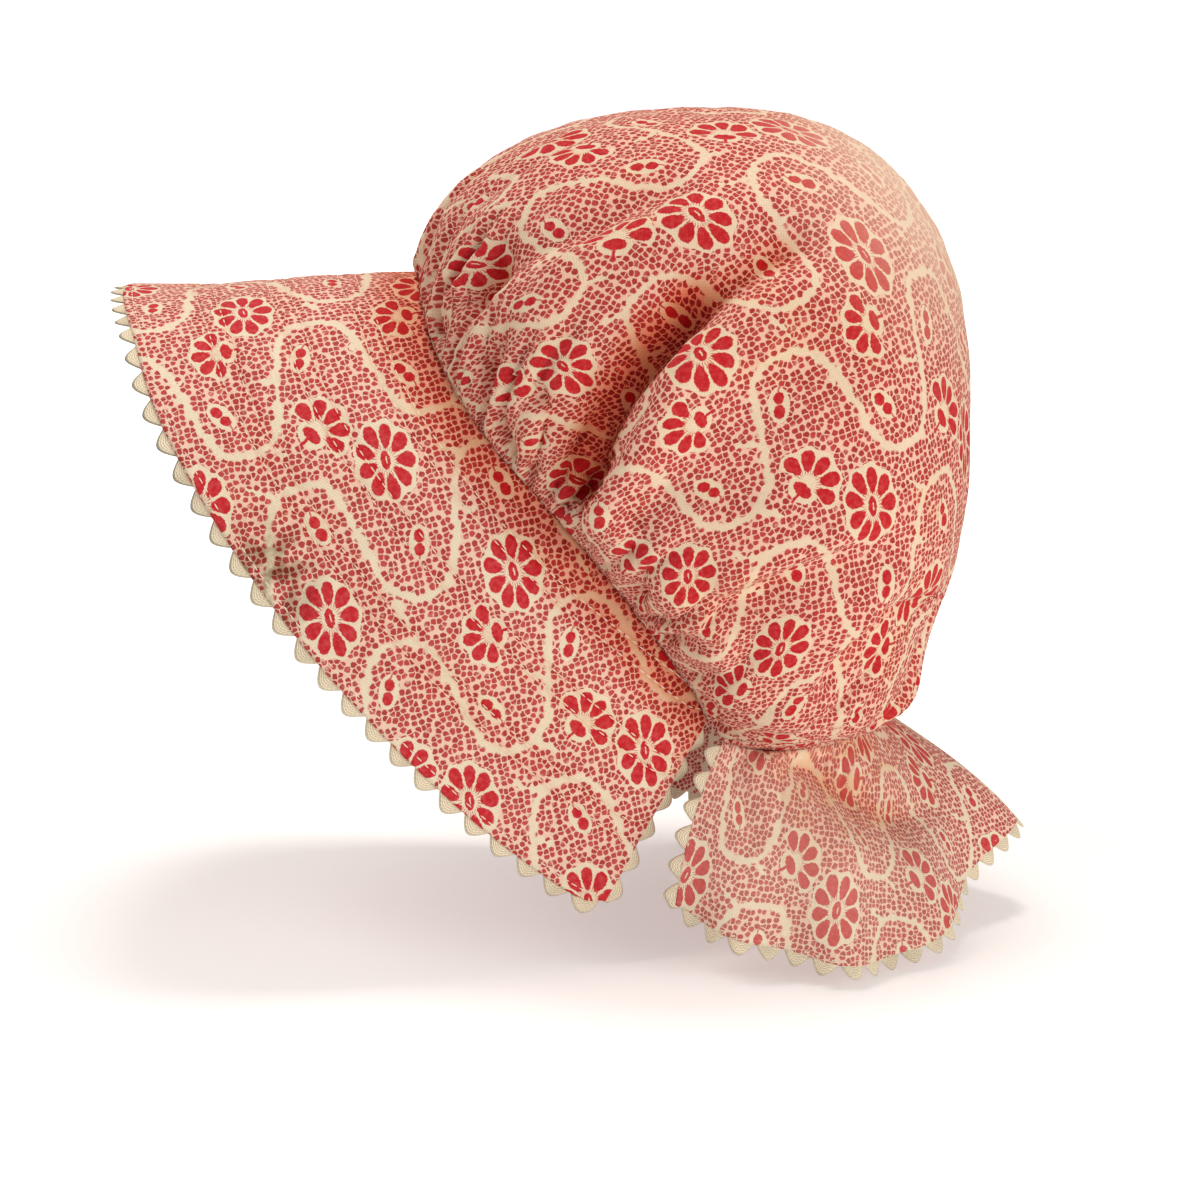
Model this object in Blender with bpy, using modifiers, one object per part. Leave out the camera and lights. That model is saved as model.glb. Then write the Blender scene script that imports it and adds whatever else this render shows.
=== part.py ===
"""A gathered cloth prairie bonnet: stiff quilted brim, puffed crown, neck curtain and rickrack braid.

Metres, +Z up. The wearer faces -X, and +Y is the wearer's right.
The origin is the point inside the crown where the top of the head bears.
The tables below are in millimetres. Each gives one half of the bonnet, from the centre plane
outwards, and the other half is its mirror image in Y.
"""

from collections import namedtuple

import bmesh
import bpy
import numpy as np

MM = 0.001

# Walls and the clearances between sewn pieces
CLOTH_WALL = 1.4
BRIM_WALL = 2.6
BRAID_WALL = 1.2
RIM_SETBACK = 0.8
CURTAIN_DROP = 0.8

# How finely the sheets are divided
SEAM_STEPS = 24
NECK_STEPS = 15
BRIM_ROWS = 4
CURTAIN_ROWS = 5
CROWN_RINGS = (0.0, 0.02, 0.045, 0.08, 0.12, 0.165) + tuple(0.21 + 0.045 * k for k in range(17))

# The brim: the seam that the crown is gathered to, and the braided front edge, from the top to the lower corner
BrimSection = namedtuple("BrimSection", "seam_x seam_half seam_z edge_x edge_half edge_z")
BRIM_SECTIONS = (
    BrimSection(-118.7, 0.0, -59.0, -226.6, 0.0, -64.5),
    BrimSection(-117.5, 26.0, -61.5, -222.8, 31.0, -67.5),
    BrimSection(-114.5, 50.0, -71.0, -214.5, 62.0, -78.5),
    BrimSection(-106.5, 68.0, -89.0, -205.0, 83.0, -99.5),
    BrimSection(-92.0, 78.5, -110.0, -189.5, 96.0, -126.0),
    BrimSection(-72.0, 83.0, -132.5, -167.5, 102.0, -159.5),
    BrimSection(-52.0, 81.5, -156.0, -138.5, 101.0, -197.0),
    BrimSection(-34.5, 75.5, -180.0, -100.5, 93.0, -238.5),
    BrimSection(-20.5, 68.0, -200.5, -64.0, 83.0, -270.0),
    BrimSection(-15.2, 62.5, -213.0, -51.0, 79.5, -274.5),
)

# The neck: the seam that the curtain hangs from, and its braided hem, from the front corner to the centre back
NeckSection = namedtuple("NeckSection", "neck_x neck_half neck_z hem_x hem_half hem_z")
NECK_SECTIONS = (
    NeckSection(-9.0, 65.5, -219.5, -26.0, 90.0, -273.0),
    NeckSection(-0.5, 61.5, -223.0, -8.0, 100.0, -281.0),
    NeckSection(11.0, 55.5, -225.5, 12.0, 104.0, -286.0),
    NeckSection(23.5, 47.0, -226.5, 32.0, 104.0, -290.0),
    NeckSection(34.5, 37.5, -226.0, 50.0, 94.0, -291.5),
    NeckSection(43.0, 26.0, -224.0, 68.0, 72.0, -288.0),
    NeckSection(48.5, 13.0, -222.0, 85.0, 40.0, -277.0),
    NeckSection(50.5, 0.0, -221.0, 102.0, 0.0, -264.5),
)

# The crown: a puffed bag about its middle, a rounded box whose reach and squareness differ from side to side
CROWN_MIDDLE = (-10.0, 0.0, -108.0)
CROWN_POLE = (76.5, 0.0, -61.0)
REACH_FRONT = 115.0
REACH_BACK = 92.5
REACH_SIDE = 112.0
REACH_TOP = 109.6
REACH_BOTTOM = 116.0
SQUARENESS_FRONT = 2.6
SQUARENESS_BACK = 2.4
SQUARENESS_BOTTOM = 2.6
PUFF_SHARE = 0.12
PUFF_LEAN = 1.25

# The roll of cloth over the neck seam, and the levels below the origin between which the rim becomes the neck
ROLL_HEIGHT = 12.0
ROLL_Z = -207.0
ROLL_SPREAD = 13.0
NECK_LEVELS = (196.0, 211.0)

# The crown's main folds, seen from the side: three points that each runs through, its spread and its rise
Fold = namedtuple("Fold", "start_x start_z middle_x middle_z end_x end_z spread rise")
FOLDS = (
    Fold(-106.3, -63.7, -62.8, -33.2, 15.7, -5.0, 10.0, -6.5),
    Fold(-70.2, -126.8, -45.8, -84.1, -20.0, -48.0, 12.0, -10.0),
    Fold(-22.2, -50.8, -0.1, -39.1, 26.3, -33.0, 11.0, -5.0),
    Fold(-55.2, -137.7, -22.4, -102.0, 32.4, -65.4, 11.0, -5.0),
    Fold(-21.9, -163.5, 18.6, -161.9, 56.4, -137.9, 12.0, -4.5),
    Fold(-94.2, -75.3, -55.9, -41.9, 30.4, -22.5, 10.0, 4.0),
    Fold(-54.2, -120.6, -25.9, -76.9, 32.5, -42.0, 10.0, 4.0),
    Fold(-8.4, -185.9, 26.4, -195.2, 59.0, -166.2, 11.0, 4.0),
)
FOLD_TAPER = 0.16
FAR_SIDE_SHIFT = (5.0, -9.0)

# The curtain's flutes, and how far it bellies out between the neck and the hem
FLUTE_COUNT = 3.5
FLUTE_RISE = 6.0
CURTAIN_BELLY = 5.0

# Rickrack: the wave that shows beyond the cloth
BRAID_PITCH = 12.4
BRAID_VALLEY = 1.4
BRAID_TIP = 7.0
BRAID_LEAN = 0.7
BRAID_GAP = 0.8

CREAM = (0.86, 0.80, 0.62, 1.0)
CALICO = (0.86, 0.47, 0.44, 1.0)


def smoothstep(value, low, high):
    """0 below low, 1 above high, and an even curve between them."""
    share = np.clip((value - low) / (high - low), 0.0, 1.0)
    return share * share * (3.0 - 2.0 * share)


def curve_through(points, places):
    """Catmull-Rom curve through the rows of points, read at places from 0 to len(points) - 1."""
    ahead = 2.0 * points[0] - points[1]
    beyond = 2.0 * points[-1] - points[-2]
    padded = np.vstack([ahead, points, beyond])
    first = np.clip(np.floor(places).astype(int), 0, len(points) - 2)
    share = (places - first)[:, None]
    p0, p1, p2, p3 = (padded[first + k] for k in range(4))
    return 0.5 * (
        2.0 * p1
        + (p2 - p0) * share
        + (2.0 * p0 - 5.0 * p1 + 4.0 * p2 - p3) * share**2
        + (3.0 * p1 - p0 - 3.0 * p2 + p3) * share**3
    )


def whole_curve(half_points, steps, centre_first):
    """The near half of a curve, given as x, half-width and z, joined to its mirror image through the centre plane.

    The result runs from the near side (negative Y) to the far side."""
    rows = np.array(half_points)
    if centre_first:
        rows = rows[::-1]
    near = rows * (1.0, -1.0, 1.0)
    both = np.vstack([near, (near * (1.0, -1.0, 1.0))[-2::-1]])
    return curve_through(both, np.linspace(0.0, len(both) - 1.0, 2 * steps + 1))


def seam_curve():
    return whole_curve([(s.seam_x, s.seam_half, s.seam_z) for s in BRIM_SECTIONS], SEAM_STEPS, True)


def edge_curve():
    return whole_curve([(s.edge_x, s.edge_half, s.edge_z) for s in BRIM_SECTIONS], SEAM_STEPS, True)


def neck_curve():
    return whole_curve([(s.neck_x, s.neck_half, s.neck_z) for s in NECK_SECTIONS], NECK_STEPS, False)


def hem_curve():
    return whole_curve([(s.hem_x, s.hem_half, s.hem_z) for s in NECK_SECTIONS], NECK_STEPS, False)


def unit(vectors):
    return vectors / np.linalg.norm(vectors, axis=-1, keepdims=True)


def sheet_object(name, grid, wall, offset, material, closed_ring=False, pole=None):
    """An open sheet through a grid of points, rows by columns, given its wall by a Solidify modifier."""
    rows, columns = grid.shape[:2]
    mesh_maker = bmesh.new()
    corners = [[mesh_maker.verts.new(point * MM) for point in row] for row in grid]
    spans = columns if closed_ring else columns - 1
    for r in range(rows - 1):
        for c in range(spans):
            d = (c + 1) % columns
            mesh_maker.faces.new((corners[r][c], corners[r + 1][c], corners[r + 1][d], corners[r][d]))
    if pole is not None:
        top = mesh_maker.verts.new(pole * MM)
        for c in range(spans):
            mesh_maker.faces.new((corners[-1][c], top, corners[-1][(c + 1) % columns]))
    mesh = bpy.data.meshes.new(name)
    mesh_maker.to_mesh(mesh)
    mesh_maker.free()
    mesh.shade_smooth()
    sheet = bpy.data.objects.new(name, mesh)
    COLLECTION.objects.link(sheet)
    solidify = sheet.modifiers.new("wall", "SOLIDIFY")
    solidify.thickness = wall * MM
    solidify.offset = offset
    sheet.data.materials.append(material)
    return sheet


def finish_material(name, colour, roughness):
    material = bpy.data.materials.new(name)
    material.use_nodes = True
    shader = material.node_tree.nodes["Principled BSDF"]
    shader.inputs["Base Color"].default_value = colour
    shader.inputs["Roughness"].default_value = roughness
    shader.inputs["Metallic"].default_value = 0.0
    return material


def balloon_radius(direction):
    """How far the puffed bag reaches from its middle along unit directions, with the roll over the neck."""
    front = smoothstep(-direction[..., 0], -0.25, 0.25)
    below = smoothstep(-direction[..., 2], -0.25, 0.25)
    power = SQUARENESS_BACK + (SQUARENESS_FRONT - SQUARENESS_BACK) * front
    power = power + (SQUARENESS_BOTTOM - power) * below
    reach_x = np.where(direction[..., 0] < 0.0, REACH_FRONT, REACH_BACK)
    reach_z = np.where(direction[..., 2] < 0.0, REACH_BOTTOM, REACH_TOP)
    total = (
        np.abs(direction[..., 0] / reach_x) ** power
        + np.abs(direction[..., 1] / REACH_SIDE) ** power
        + np.abs(direction[..., 2] / reach_z) ** power
    )
    radius = total ** (-1.0 / power)
    height = CROWN_MIDDLE[2] + direction[..., 2] * radius
    behind = smoothstep(direction[..., 0], -0.45, 0.05)
    return radius + ROLL_HEIGHT * behind * np.exp(-(((height - ROLL_Z) / ROLL_SPREAD) ** 2))


def fold_rise(points):
    """The height of all the folds at points, read in side view on each side of the centre plane."""
    total = np.zeros(points.shape[:-1])
    share = np.linspace(0.0, 1.0, 41)
    for fold in FOLDS:
        start = np.array((fold.start_x, fold.start_z))
        middle = np.array((fold.middle_x, fold.middle_z))
        end = np.array((fold.end_x, fold.end_z))
        handle = 2.0 * middle - 0.5 * (start + end)
        t = share[:, None]
        path = (1.0 - t) ** 2 * start + 2.0 * t * (1.0 - t) * handle + t**2 * end
        for side in (-1.0, 1.0):
            shift = np.array(FAR_SIDE_SHIFT) if side > 0.0 else np.zeros(2)
            away = np.linalg.norm(points[..., None, (0, 2)] - (path + shift), axis=-1)
            nearest = away.argmin(axis=-1)
            distance = away.min(axis=-1)
            along = share[nearest]
            taper = smoothstep(along, -FOLD_TAPER, FOLD_TAPER) * smoothstep(1.0 - along, 0.0, 2.0 * FOLD_TAPER)
            on_side = smoothstep(side * points[..., 1], 8.0, 34.0)
            total += fold.rise * np.exp(-((distance / fold.spread) ** 2)) * taper * on_side
    return total


def crown_rim():
    """The bag's open rim as a ring: over the head along the brim seam, then back round the neck."""
    seam = seam_curve()
    neck = neck_curve()
    back_of_seam = unit(seam - edge_curve()) * RIM_SETBACK
    return np.vstack([seam + back_of_seam, neck[-2:0:-1]])


def crown_grid():
    """Rings of points from the rim towards the pole, each on the way from its rim point's direction to the pole's.

    No ring hangs lower than its own rim point along the neck, so the curtain's top stays clear."""
    middle = np.array(CROWN_MIDDLE)
    rim = crown_rim() - middle
    rim_radius = np.linalg.norm(rim, axis=1)
    rim_way = unit(rim)
    pole_way = unit(np.array(CROWN_POLE) - middle)
    angle = np.arccos(np.clip(rim_way @ pole_way, -1.0, 1.0))
    share = np.array(CROWN_RINGS)[:, None]
    way = (
        np.sin((1.0 - share) * angle)[..., None] * rim_way + np.sin(share * angle)[..., None] * pole_way
    ) / np.sin(angle)[:, None]
    way = unit(way)
    puffed = np.sin(0.5 * np.pi * np.clip(share / PUFF_SHARE, 0.0, 1.0)) ** PUFF_LEAN
    shortfall = rim_radius - balloon_radius(rim_way)
    radius = balloon_radius(way) + (1.0 - puffed) * shortfall
    base = middle + way * radius[..., None]
    raised = fold_rise(base) * puffed
    bag = base + way * raised[..., None]
    rim_z = rim[:, 2] + middle[2]
    on_neck = smoothstep(-rim_z, *NECK_LEVELS)
    bag[..., 2] += on_neck * np.maximum(rim_z - bag[..., 2], 0.0)
    return bag


def build_crown(material):
    grid = crown_grid()
    pole_way = unit(np.array(CROWN_POLE) - np.array(CROWN_MIDDLE))
    pole = np.array(CROWN_MIDDLE) + pole_way * balloon_radius(pole_way)
    return sheet_object("crown", grid, CLOTH_WALL, -1.0, material, closed_ring=True, pole=pole)


def brim_grid():
    share = np.linspace(0.0, 1.0, BRIM_ROWS + 1)[:, None, None]
    return seam_curve() * (1.0 - share) + edge_curve() * share


def build_brim(material):
    return sheet_object("brim", brim_grid()[::-1], BRIM_WALL, 0.0, material)


def curtain_grid():
    """The neck curtain: straight lines from the neck to the hem, with flutes that grow towards the hem."""
    share = np.linspace(0.0, 1.0, CURTAIN_ROWS + 1)[:, None]
    neck = neck_curve() - (0.0, 0.0, CURTAIN_DROP)
    hem = hem_curve()
    outward = unit((hem - neck) * (1.0, 1.0, 0.0))
    across = np.linspace(-1.0, 1.0, len(neck))
    wave = FLUTE_RISE * np.cos(2.0 * np.pi * FLUTE_COUNT * across) * (1.0 - across**8)
    belly = CURTAIN_BELLY * 4.0 * share * (1.0 - share)
    base = neck + share[..., None] * (hem - neck)
    lift = wave * share**1.5 + belly
    return base + lift[..., None] * outward


def build_curtain(material):
    return sheet_object("curtain", curtain_grid(), CLOTH_WALL, 0.0, material)


def resampled(line, step):
    """Points an even step apart along a line of straight chords, and the chord that each is on."""
    chord = np.linalg.norm(np.diff(line, axis=0), axis=1)
    gone = np.concatenate([[0.0], np.cumsum(chord)])
    places = np.linspace(0.0, gone[-1], int(round(gone[-1] / step)) + 1)
    points = np.stack([np.interp(places, gone, line[:, k]) for k in range(3)], axis=1)
    return points, places, gone


def build_braid(name, border, outward, material):
    """Rickrack along a border: a strip whose outer side rises to a tip and falls to a valley at every pitch."""
    points, places, gone = resampled(border, BRAID_PITCH / 3.0)
    way = np.stack([np.interp(places, gone, outward[:, k]) for k in range(3)], axis=1)
    cycle = np.arange(len(points)) % 3
    reach = np.where(cycle == 0, BRAID_VALLEY, BRAID_TIP)
    lean = np.array((0.0, BRAID_LEAN, -BRAID_LEAN))[cycle]
    along = unit(np.gradient(points, axis=0))
    inner = points + way * BRAID_GAP
    outer = points + unit(way) * reach[:, None] + along * lean[:, None]
    return sheet_object(name, np.stack([inner, outer]), BRAID_WALL, 0.0, material)


def square_to(ways, line):
    """Unit directions nearest to ways that stand square to the line."""
    along = unit(np.gradient(line, axis=0))
    return unit(ways - (ways * along).sum(axis=1, keepdims=True) * along)


def sheet_border(grid):
    """The free border of a sheet whose first row is sewn: up one side, along the last row, and down the other.

    At a corner the outward direction is the sum of both sides' directions, so that the gap is kept to each."""
    sides = []
    for column, inside in ((0, 1), (-1, -2)):
        sides.append(square_to(grid[:, column] - grid[:, inside], grid[:, column]))
    last = square_to(grid[-1] - grid[-2], grid[-1])
    start, end = sides
    points = np.vstack([grid[1:-1, 0], grid[-1], grid[-2:0:-1, -1]])
    ways = np.vstack([start[1:-1], start[-1] + last[0], last[1:-1], end[-1] + last[-1], end[-2:0:-1]])
    return points, ways


def main():
    calico = finish_material("red calico", CALICO, 0.85)
    cream = finish_material("cream braid", CREAM, 0.8)
    build_brim(calico)
    build_crown(calico)
    build_curtain(calico)
    build_braid("brim_rickrack", *sheet_border(brim_grid()), cream)
    build_braid("curtain_rickrack", *sheet_border(curtain_grid()), cream)


for leftover in list(bpy.data.objects):
    bpy.data.objects.remove(leftover, do_unlink=True)
COLLECTION = bpy.data.collections.new("prairie_bonnet")
bpy.context.scene.collection.children.link(COLLECTION)
main()
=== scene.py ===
"""The looks of a cloth prairie bonnet: printed calico in gathers, quilting rows and rickrack.

Lengths are in millimetres, and become metres where a mesh is made. The wearer faces -X, and +Z is up.
The photograph's side, the wearer's left, is negative Y and is called the near side."""

from collections import namedtuple

import bpy
import numpy as np
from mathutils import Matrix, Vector


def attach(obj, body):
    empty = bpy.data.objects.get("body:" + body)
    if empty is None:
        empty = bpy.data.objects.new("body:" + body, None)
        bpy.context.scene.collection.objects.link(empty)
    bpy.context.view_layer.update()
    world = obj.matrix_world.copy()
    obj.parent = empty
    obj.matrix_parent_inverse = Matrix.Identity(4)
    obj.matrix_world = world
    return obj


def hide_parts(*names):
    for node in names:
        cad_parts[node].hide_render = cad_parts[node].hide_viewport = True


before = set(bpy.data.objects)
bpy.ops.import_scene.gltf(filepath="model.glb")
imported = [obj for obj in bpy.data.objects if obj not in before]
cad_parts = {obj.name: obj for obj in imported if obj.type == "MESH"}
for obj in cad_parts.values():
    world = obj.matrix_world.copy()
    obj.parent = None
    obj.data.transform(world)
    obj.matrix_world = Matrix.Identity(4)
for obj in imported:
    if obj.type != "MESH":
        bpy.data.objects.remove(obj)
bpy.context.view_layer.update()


# Brim
# Two layers of calico over a stiffening, quilted in pairs of rows, cut as one long arch and turned at the
# front edge. Its back edge is seamed to the crown, from one cheek over the head to the other.
MM = 0.001
BRIM_WALL = 2.4
BRIM_COLUMNS = 460
BRIM_ROWS = 62
BrimSection = namedtuple("BrimSection", "seam_x seam_half seam_z edge_x edge_half edge_z")
BRIM_SECTIONS = (
    BrimSection(-118.7, 0.0, -59.0, -226.6, 0.0, -64.5),
    BrimSection(-117.5, 26.0, -61.5, -222.8, 31.0, -67.5),
    BrimSection(-114.5, 50.0, -71.0, -214.5, 62.0, -78.5),
    BrimSection(-106.5, 68.0, -89.0, -205.0, 83.0, -99.5),
    BrimSection(-92.0, 78.5, -110.0, -189.5, 96.0, -126.0),
    BrimSection(-72.0, 83.0, -132.5, -167.5, 102.0, -159.5),
    BrimSection(-52.0, 81.5, -156.0, -138.5, 101.0, -197.0),
    BrimSection(-34.5, 75.5, -180.0, -100.5, 93.0, -238.5),
    BrimSection(-20.5, 68.0, -200.5, -64.0, 83.0, -270.0),
    BrimSection(-15.2, 62.5, -213.0, -51.0, 79.5, -274.5),
)
# Distances of the quilting rows from the front edge
QUILTING_ROWS = (26.0, 32.5, 52.0, 58.5, 78.0, 84.5)
QUILTING_DEPTH = 0.45
QUILTING_SPREAD = 1.5
BRIM_WAVE = 0.9
BRIM_WAVE_LENGTH = 85.0
BRIM_PUCKER = 0.35
BRIM_PUCKER_LENGTH = 24.0
# Where the print lies on the near side: a daisy's middle, and the way its short repeat runs, in side view
BRIM_DAISY = (-82.5, -155.0)
BRIM_WEFT = (0.975, 0.222)
# Points with a smaller Y than this are on the near side. The print's way is measured this many points off
NEAR_SIDE_Y = -20.0
PRINT_STEP = 3


def smoothstep(value, low, high):
    """0 below low, 1 above high, and an even curve between them."""
    share = np.clip((value - low) / (high - low), 0.0, 1.0)
    return share * share * (3.0 - 2.0 * share)


def unit(vectors):
    return vectors / np.linalg.norm(vectors, axis=-1, keepdims=True)


def curve_through(points, places):
    """Catmull-Rom curve through the rows of points, read at places from 0 to len(points) - 1."""
    padded = np.concatenate([2.0 * points[:1] - points[1:2], points, 2.0 * points[-1:] - points[-2:-1]])
    first = np.clip(np.floor(places).astype(int), 0, len(points) - 2)
    share = (places - first).reshape(-1, *[1] * (points.ndim - 1))
    p0, p1, p2, p3 = (padded[first + k] for k in range(4))
    return 0.5 * (
        2.0 * p1
        + (p2 - p0) * share
        + (2.0 * p0 - 5.0 * p1 + 4.0 * p2 - p3) * share**2
        + (3.0 * p1 - p0 - 3.0 * p2 + p3) * share**3
    )


def whole_curve(half_points, columns, centre_first):
    """The near half of a curve, given as x, half-width and z, joined to its mirror image, near side first."""
    rows = np.array(half_points)
    if centre_first:
        rows = rows[::-1]
    near = rows * (1.0, -1.0, 1.0)
    both = np.vstack([near, rows[-2::-1]])
    return curve_through(both, np.linspace(0.0, len(both) - 1.0, columns + 1))


def ripple(points, length, seed):
    """Smooth noise, mostly within -1 to 1: a quarter of the sum of eight sine waves of about that length."""
    random = np.random.default_rng(seed)
    ways = unit(random.normal(size=(8, points.shape[-1]))) * random.uniform(0.7, 1.4, (8, 1))
    phases = random.uniform(0.0, 2.0 * np.pi, 8)
    return np.sin(points @ ways.T * (2.0 * np.pi / length) + phases).sum(axis=-1) / 4.0


def grid_normals(grid, ring=False):
    """Unit normals of a grid: the cross product of its row and column differences."""
    down = np.gradient(grid, axis=0)
    if ring:
        aside = np.roll(grid, -1, axis=1) - np.roll(grid, 1, axis=1)
    else:
        aside = np.gradient(grid, axis=1)
    return unit(np.cross(down, aside))


def unrolled(first, last):
    """Both borders of a ruled strip laid flat: each ruling turns by its two angles' sum less half a turn."""
    ruling = last - first
    chord = np.diff(first, axis=0)
    before = np.arccos((unit(ruling[:-1]) * unit(chord)).sum(axis=1))
    after = np.arccos((unit(ruling[1:]) * -unit(chord)).sum(axis=1))
    turn = np.concatenate([[0.0], np.cumsum(before + after - np.pi)])
    heading = turn[:-1] + before
    step = np.linalg.norm(chord, axis=1)[:, None] * np.stack([np.cos(heading), np.sin(heading)], axis=1)
    flat_first = np.vstack([[0.0, 0.0], np.cumsum(step, axis=0)])
    reach = np.linalg.norm(ruling, axis=1)[:, None]
    return flat_first, flat_first + reach * np.stack([np.cos(turn), np.sin(turn)], axis=1)


def lay_print(flat, grid, daisy, weft):
    """The flat places turned, and mirrored if need be, so that a daisy's middle and the weft lie as given.

    The turn is the orthogonal matrix nearest to the one that carries flat steps to side-view steps."""
    side = grid[..., (0, 2)]
    away = np.where(grid[..., 1] > NEAR_SIDE_Y, np.inf, np.linalg.norm(side - daisy, axis=-1))
    row, column = np.unravel_index(away.argmin(), away.shape)
    row = np.clip(row, PRINT_STEP, len(grid) - 1 - PRINT_STEP)

    def steps(places):
        """How far the places move down the rows and along the columns, near the daisy."""
        down = places[row + PRINT_STEP, column] - places[row - PRINT_STEP, column]
        aside = places[row, column + PRINT_STEP] - places[row, column - PRINT_STEP]
        return np.stack([down, aside])

    print_ways = np.array((weft, (weft[1], -weft[0]))).T
    left, _, right = np.linalg.svd(steps(flat).T @ (steps(side) @ print_ways))
    missed = (np.array(daisy) - side[row, column]) @ print_ways
    return (flat - flat[row, column]) @ (left @ right) - missed


def sheet_piece(name, grid, flat, wall, offset, material, ring=False, pole=None, capped=False, painted_shade=None):
    """A cloth piece: quads over a grid of points, its flat map in millimetres, and its wall by Solidify.

    A ring's last column joins its first, a pole closes its last row with triangles, and caps close both ends.
    The painted shade, 0 to 1 at each point, is how much shade is painted into the colour there."""
    rows, columns = grid.shape[:2]
    corner = np.arange(rows * columns).reshape(rows, columns)
    turned = np.roll(corner, -1, axis=1) if ring else corner[:, 1:]
    kept = corner if ring else corner[:, :-1]
    quads = np.stack([kept[:-1], kept[1:], turned[1:], turned[:-1]], axis=-1).reshape(-1, 4)
    points = grid.reshape(-1, 3)
    places = flat.reshape(-1, 2)
    faces = quads.tolist()
    if pole is not None:
        points = np.vstack([points, pole])
        places = np.vstack([places, flat[-1].mean(axis=0)])
        top = len(points) - 1
        faces += np.stack([kept[-1], np.full(columns, top), turned[-1]], axis=-1).tolist()
    if capped:
        faces += [corner[0].tolist(), corner[-1, ::-1].tolist()]
    mesh = bpy.data.meshes.new(name)
    mesh.from_pydata((points * MM).tolist(), [], faces)
    layer = mesh.uv_layers.new(name="cloth")
    corners = np.empty(len(mesh.loops), dtype=np.int32)
    mesh.loops.foreach_get("vertex_index", corners)
    layer.data.foreach_set("uv", places[corners].astype(np.float32).ravel())
    # A painted shade for each point, kept as an attribute that the material reads
    if painted_shade is not None:
        depths = np.zeros(len(points), dtype=np.float32)
        depths[:painted_shade.size] = painted_shade.ravel()
        mesh.attributes.new("painted_shade", "FLOAT", "POINT").data.foreach_set("value", depths)
    mesh.shade_smooth()
    mesh.materials.append(material)
    piece = bpy.data.objects.new(name, mesh)
    bpy.context.scene.collection.objects.link(piece)
    if wall:
        solidify = piece.modifiers.new("wall", "SOLIDIFY")
        solidify.thickness = wall * MM
        solidify.offset = offset
    return piece


# The brim's calico
# Plain-weave cotton, printed in red on cream: a field of pin dots, crossed by two serpentine vines left
# bare, with daisies, half daisies and pairs of berries. One repeat is a rectangle of the flat cloth.
# The print is charted in millimetres from the centre of a daisy, with the second axis downwards.
REPEAT = (65.0, 122.0, 1.0)
DOT_PITCH = 2.3
CREAM = (0.83, 0.74, 0.57)
PINK_WASH = (0.87, 0.61, 0.50)
DOT_ROSE = (0.56, 0.086, 0.080)
DOT_DEEP = (0.43, 0.056, 0.050)
CRIMSON = (0.56, 0.020, 0.032)
CRIMSON_PALE = (0.64, 0.075, 0.080)
DOT_SIZE = 0.415
DOT_SIZE_RANGE = 0.10
DOT_SCATTER = 0.68
WASH_SHARE = 0.92
WEAVE_PITCH = 0.62
WEAVE_RELIEF = 0.22
WEAVE_DARK = 0.86
WEAVE_LIGHT = 1.10
# Painted shade in folds, which deepens the calico's colour: what it adds to the power, and the tint it
# multiplies by
PAINTED_SHADE_GAMMA = 0.6
PAINTED_SHADE_TINT = (0.94, 0.56, 0.47)

# A daisy's sizes are shares of its reach
PETALS = 9
FAN_PETALS = 5
PETAL_MIDDLE = 0.68
PETAL_UNLIKE = 0.035
PETAL_HALF_LENGTH = 0.335
PETAL_SPREAD = 0.275
RAYS_A_PETAL = 3.0
BARE_RING = 1.085
BARE_SCALLOP = 0.045
Daisy = namedtuple("Daisy", "x y reach_x reach_y turn")
DAISIES = (
    Daisy(0.0, 0.0, 9.9, 13.2, 0.05),
    Daisy(-33.0, -47.5, 9.9, 13.4, 0.14),
)
HALF_DAISIES = (
    Daisy(-12.5, 19.0, 9.8, 10.4, 3.14),
    Daisy(12.0, 58.5, 11.0, 11.4, -0.50),
)
Berries = namedtuple("Berries", "x y turn")
BERRY_BARE = (6.3, 3.5, 1.0)
BERRIES = (
    Berries(3.7, -30.5, -1.86),
    Berries(-29.0, -17.5, 1.77),
    Berries(13.5, 29.5, -1.19),
    Berries(-18.2, 44.8, 1.06),
)
Vine = namedtuple("Vine", "crest_x middle_y")
VINES = (Vine(1.0, -22.5), Vine(20.0, 37.5))
VINE_HEIGHT = 23.5
VINE_WIDTH = 1.25
Spur = namedtuple("Spur", "x y end_x end_y")
SPURS = (
    Spur(23.0, 1.0, 26.0, 9.0),
    Spur(-9.0, -45.0, -16.0, -50.0),
    Spur(-13.0, -27.0, -8.0, -24.0),
    Spur(14.5, -24.0, 19.0, -28.0),
    Spur(-5.0, 60.0, 1.0, 65.0),
    Spur(1.0, 37.0, -6.0, 34.0),
    Spur(32.5, 30.0, 38.0, 27.0),
)


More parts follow.
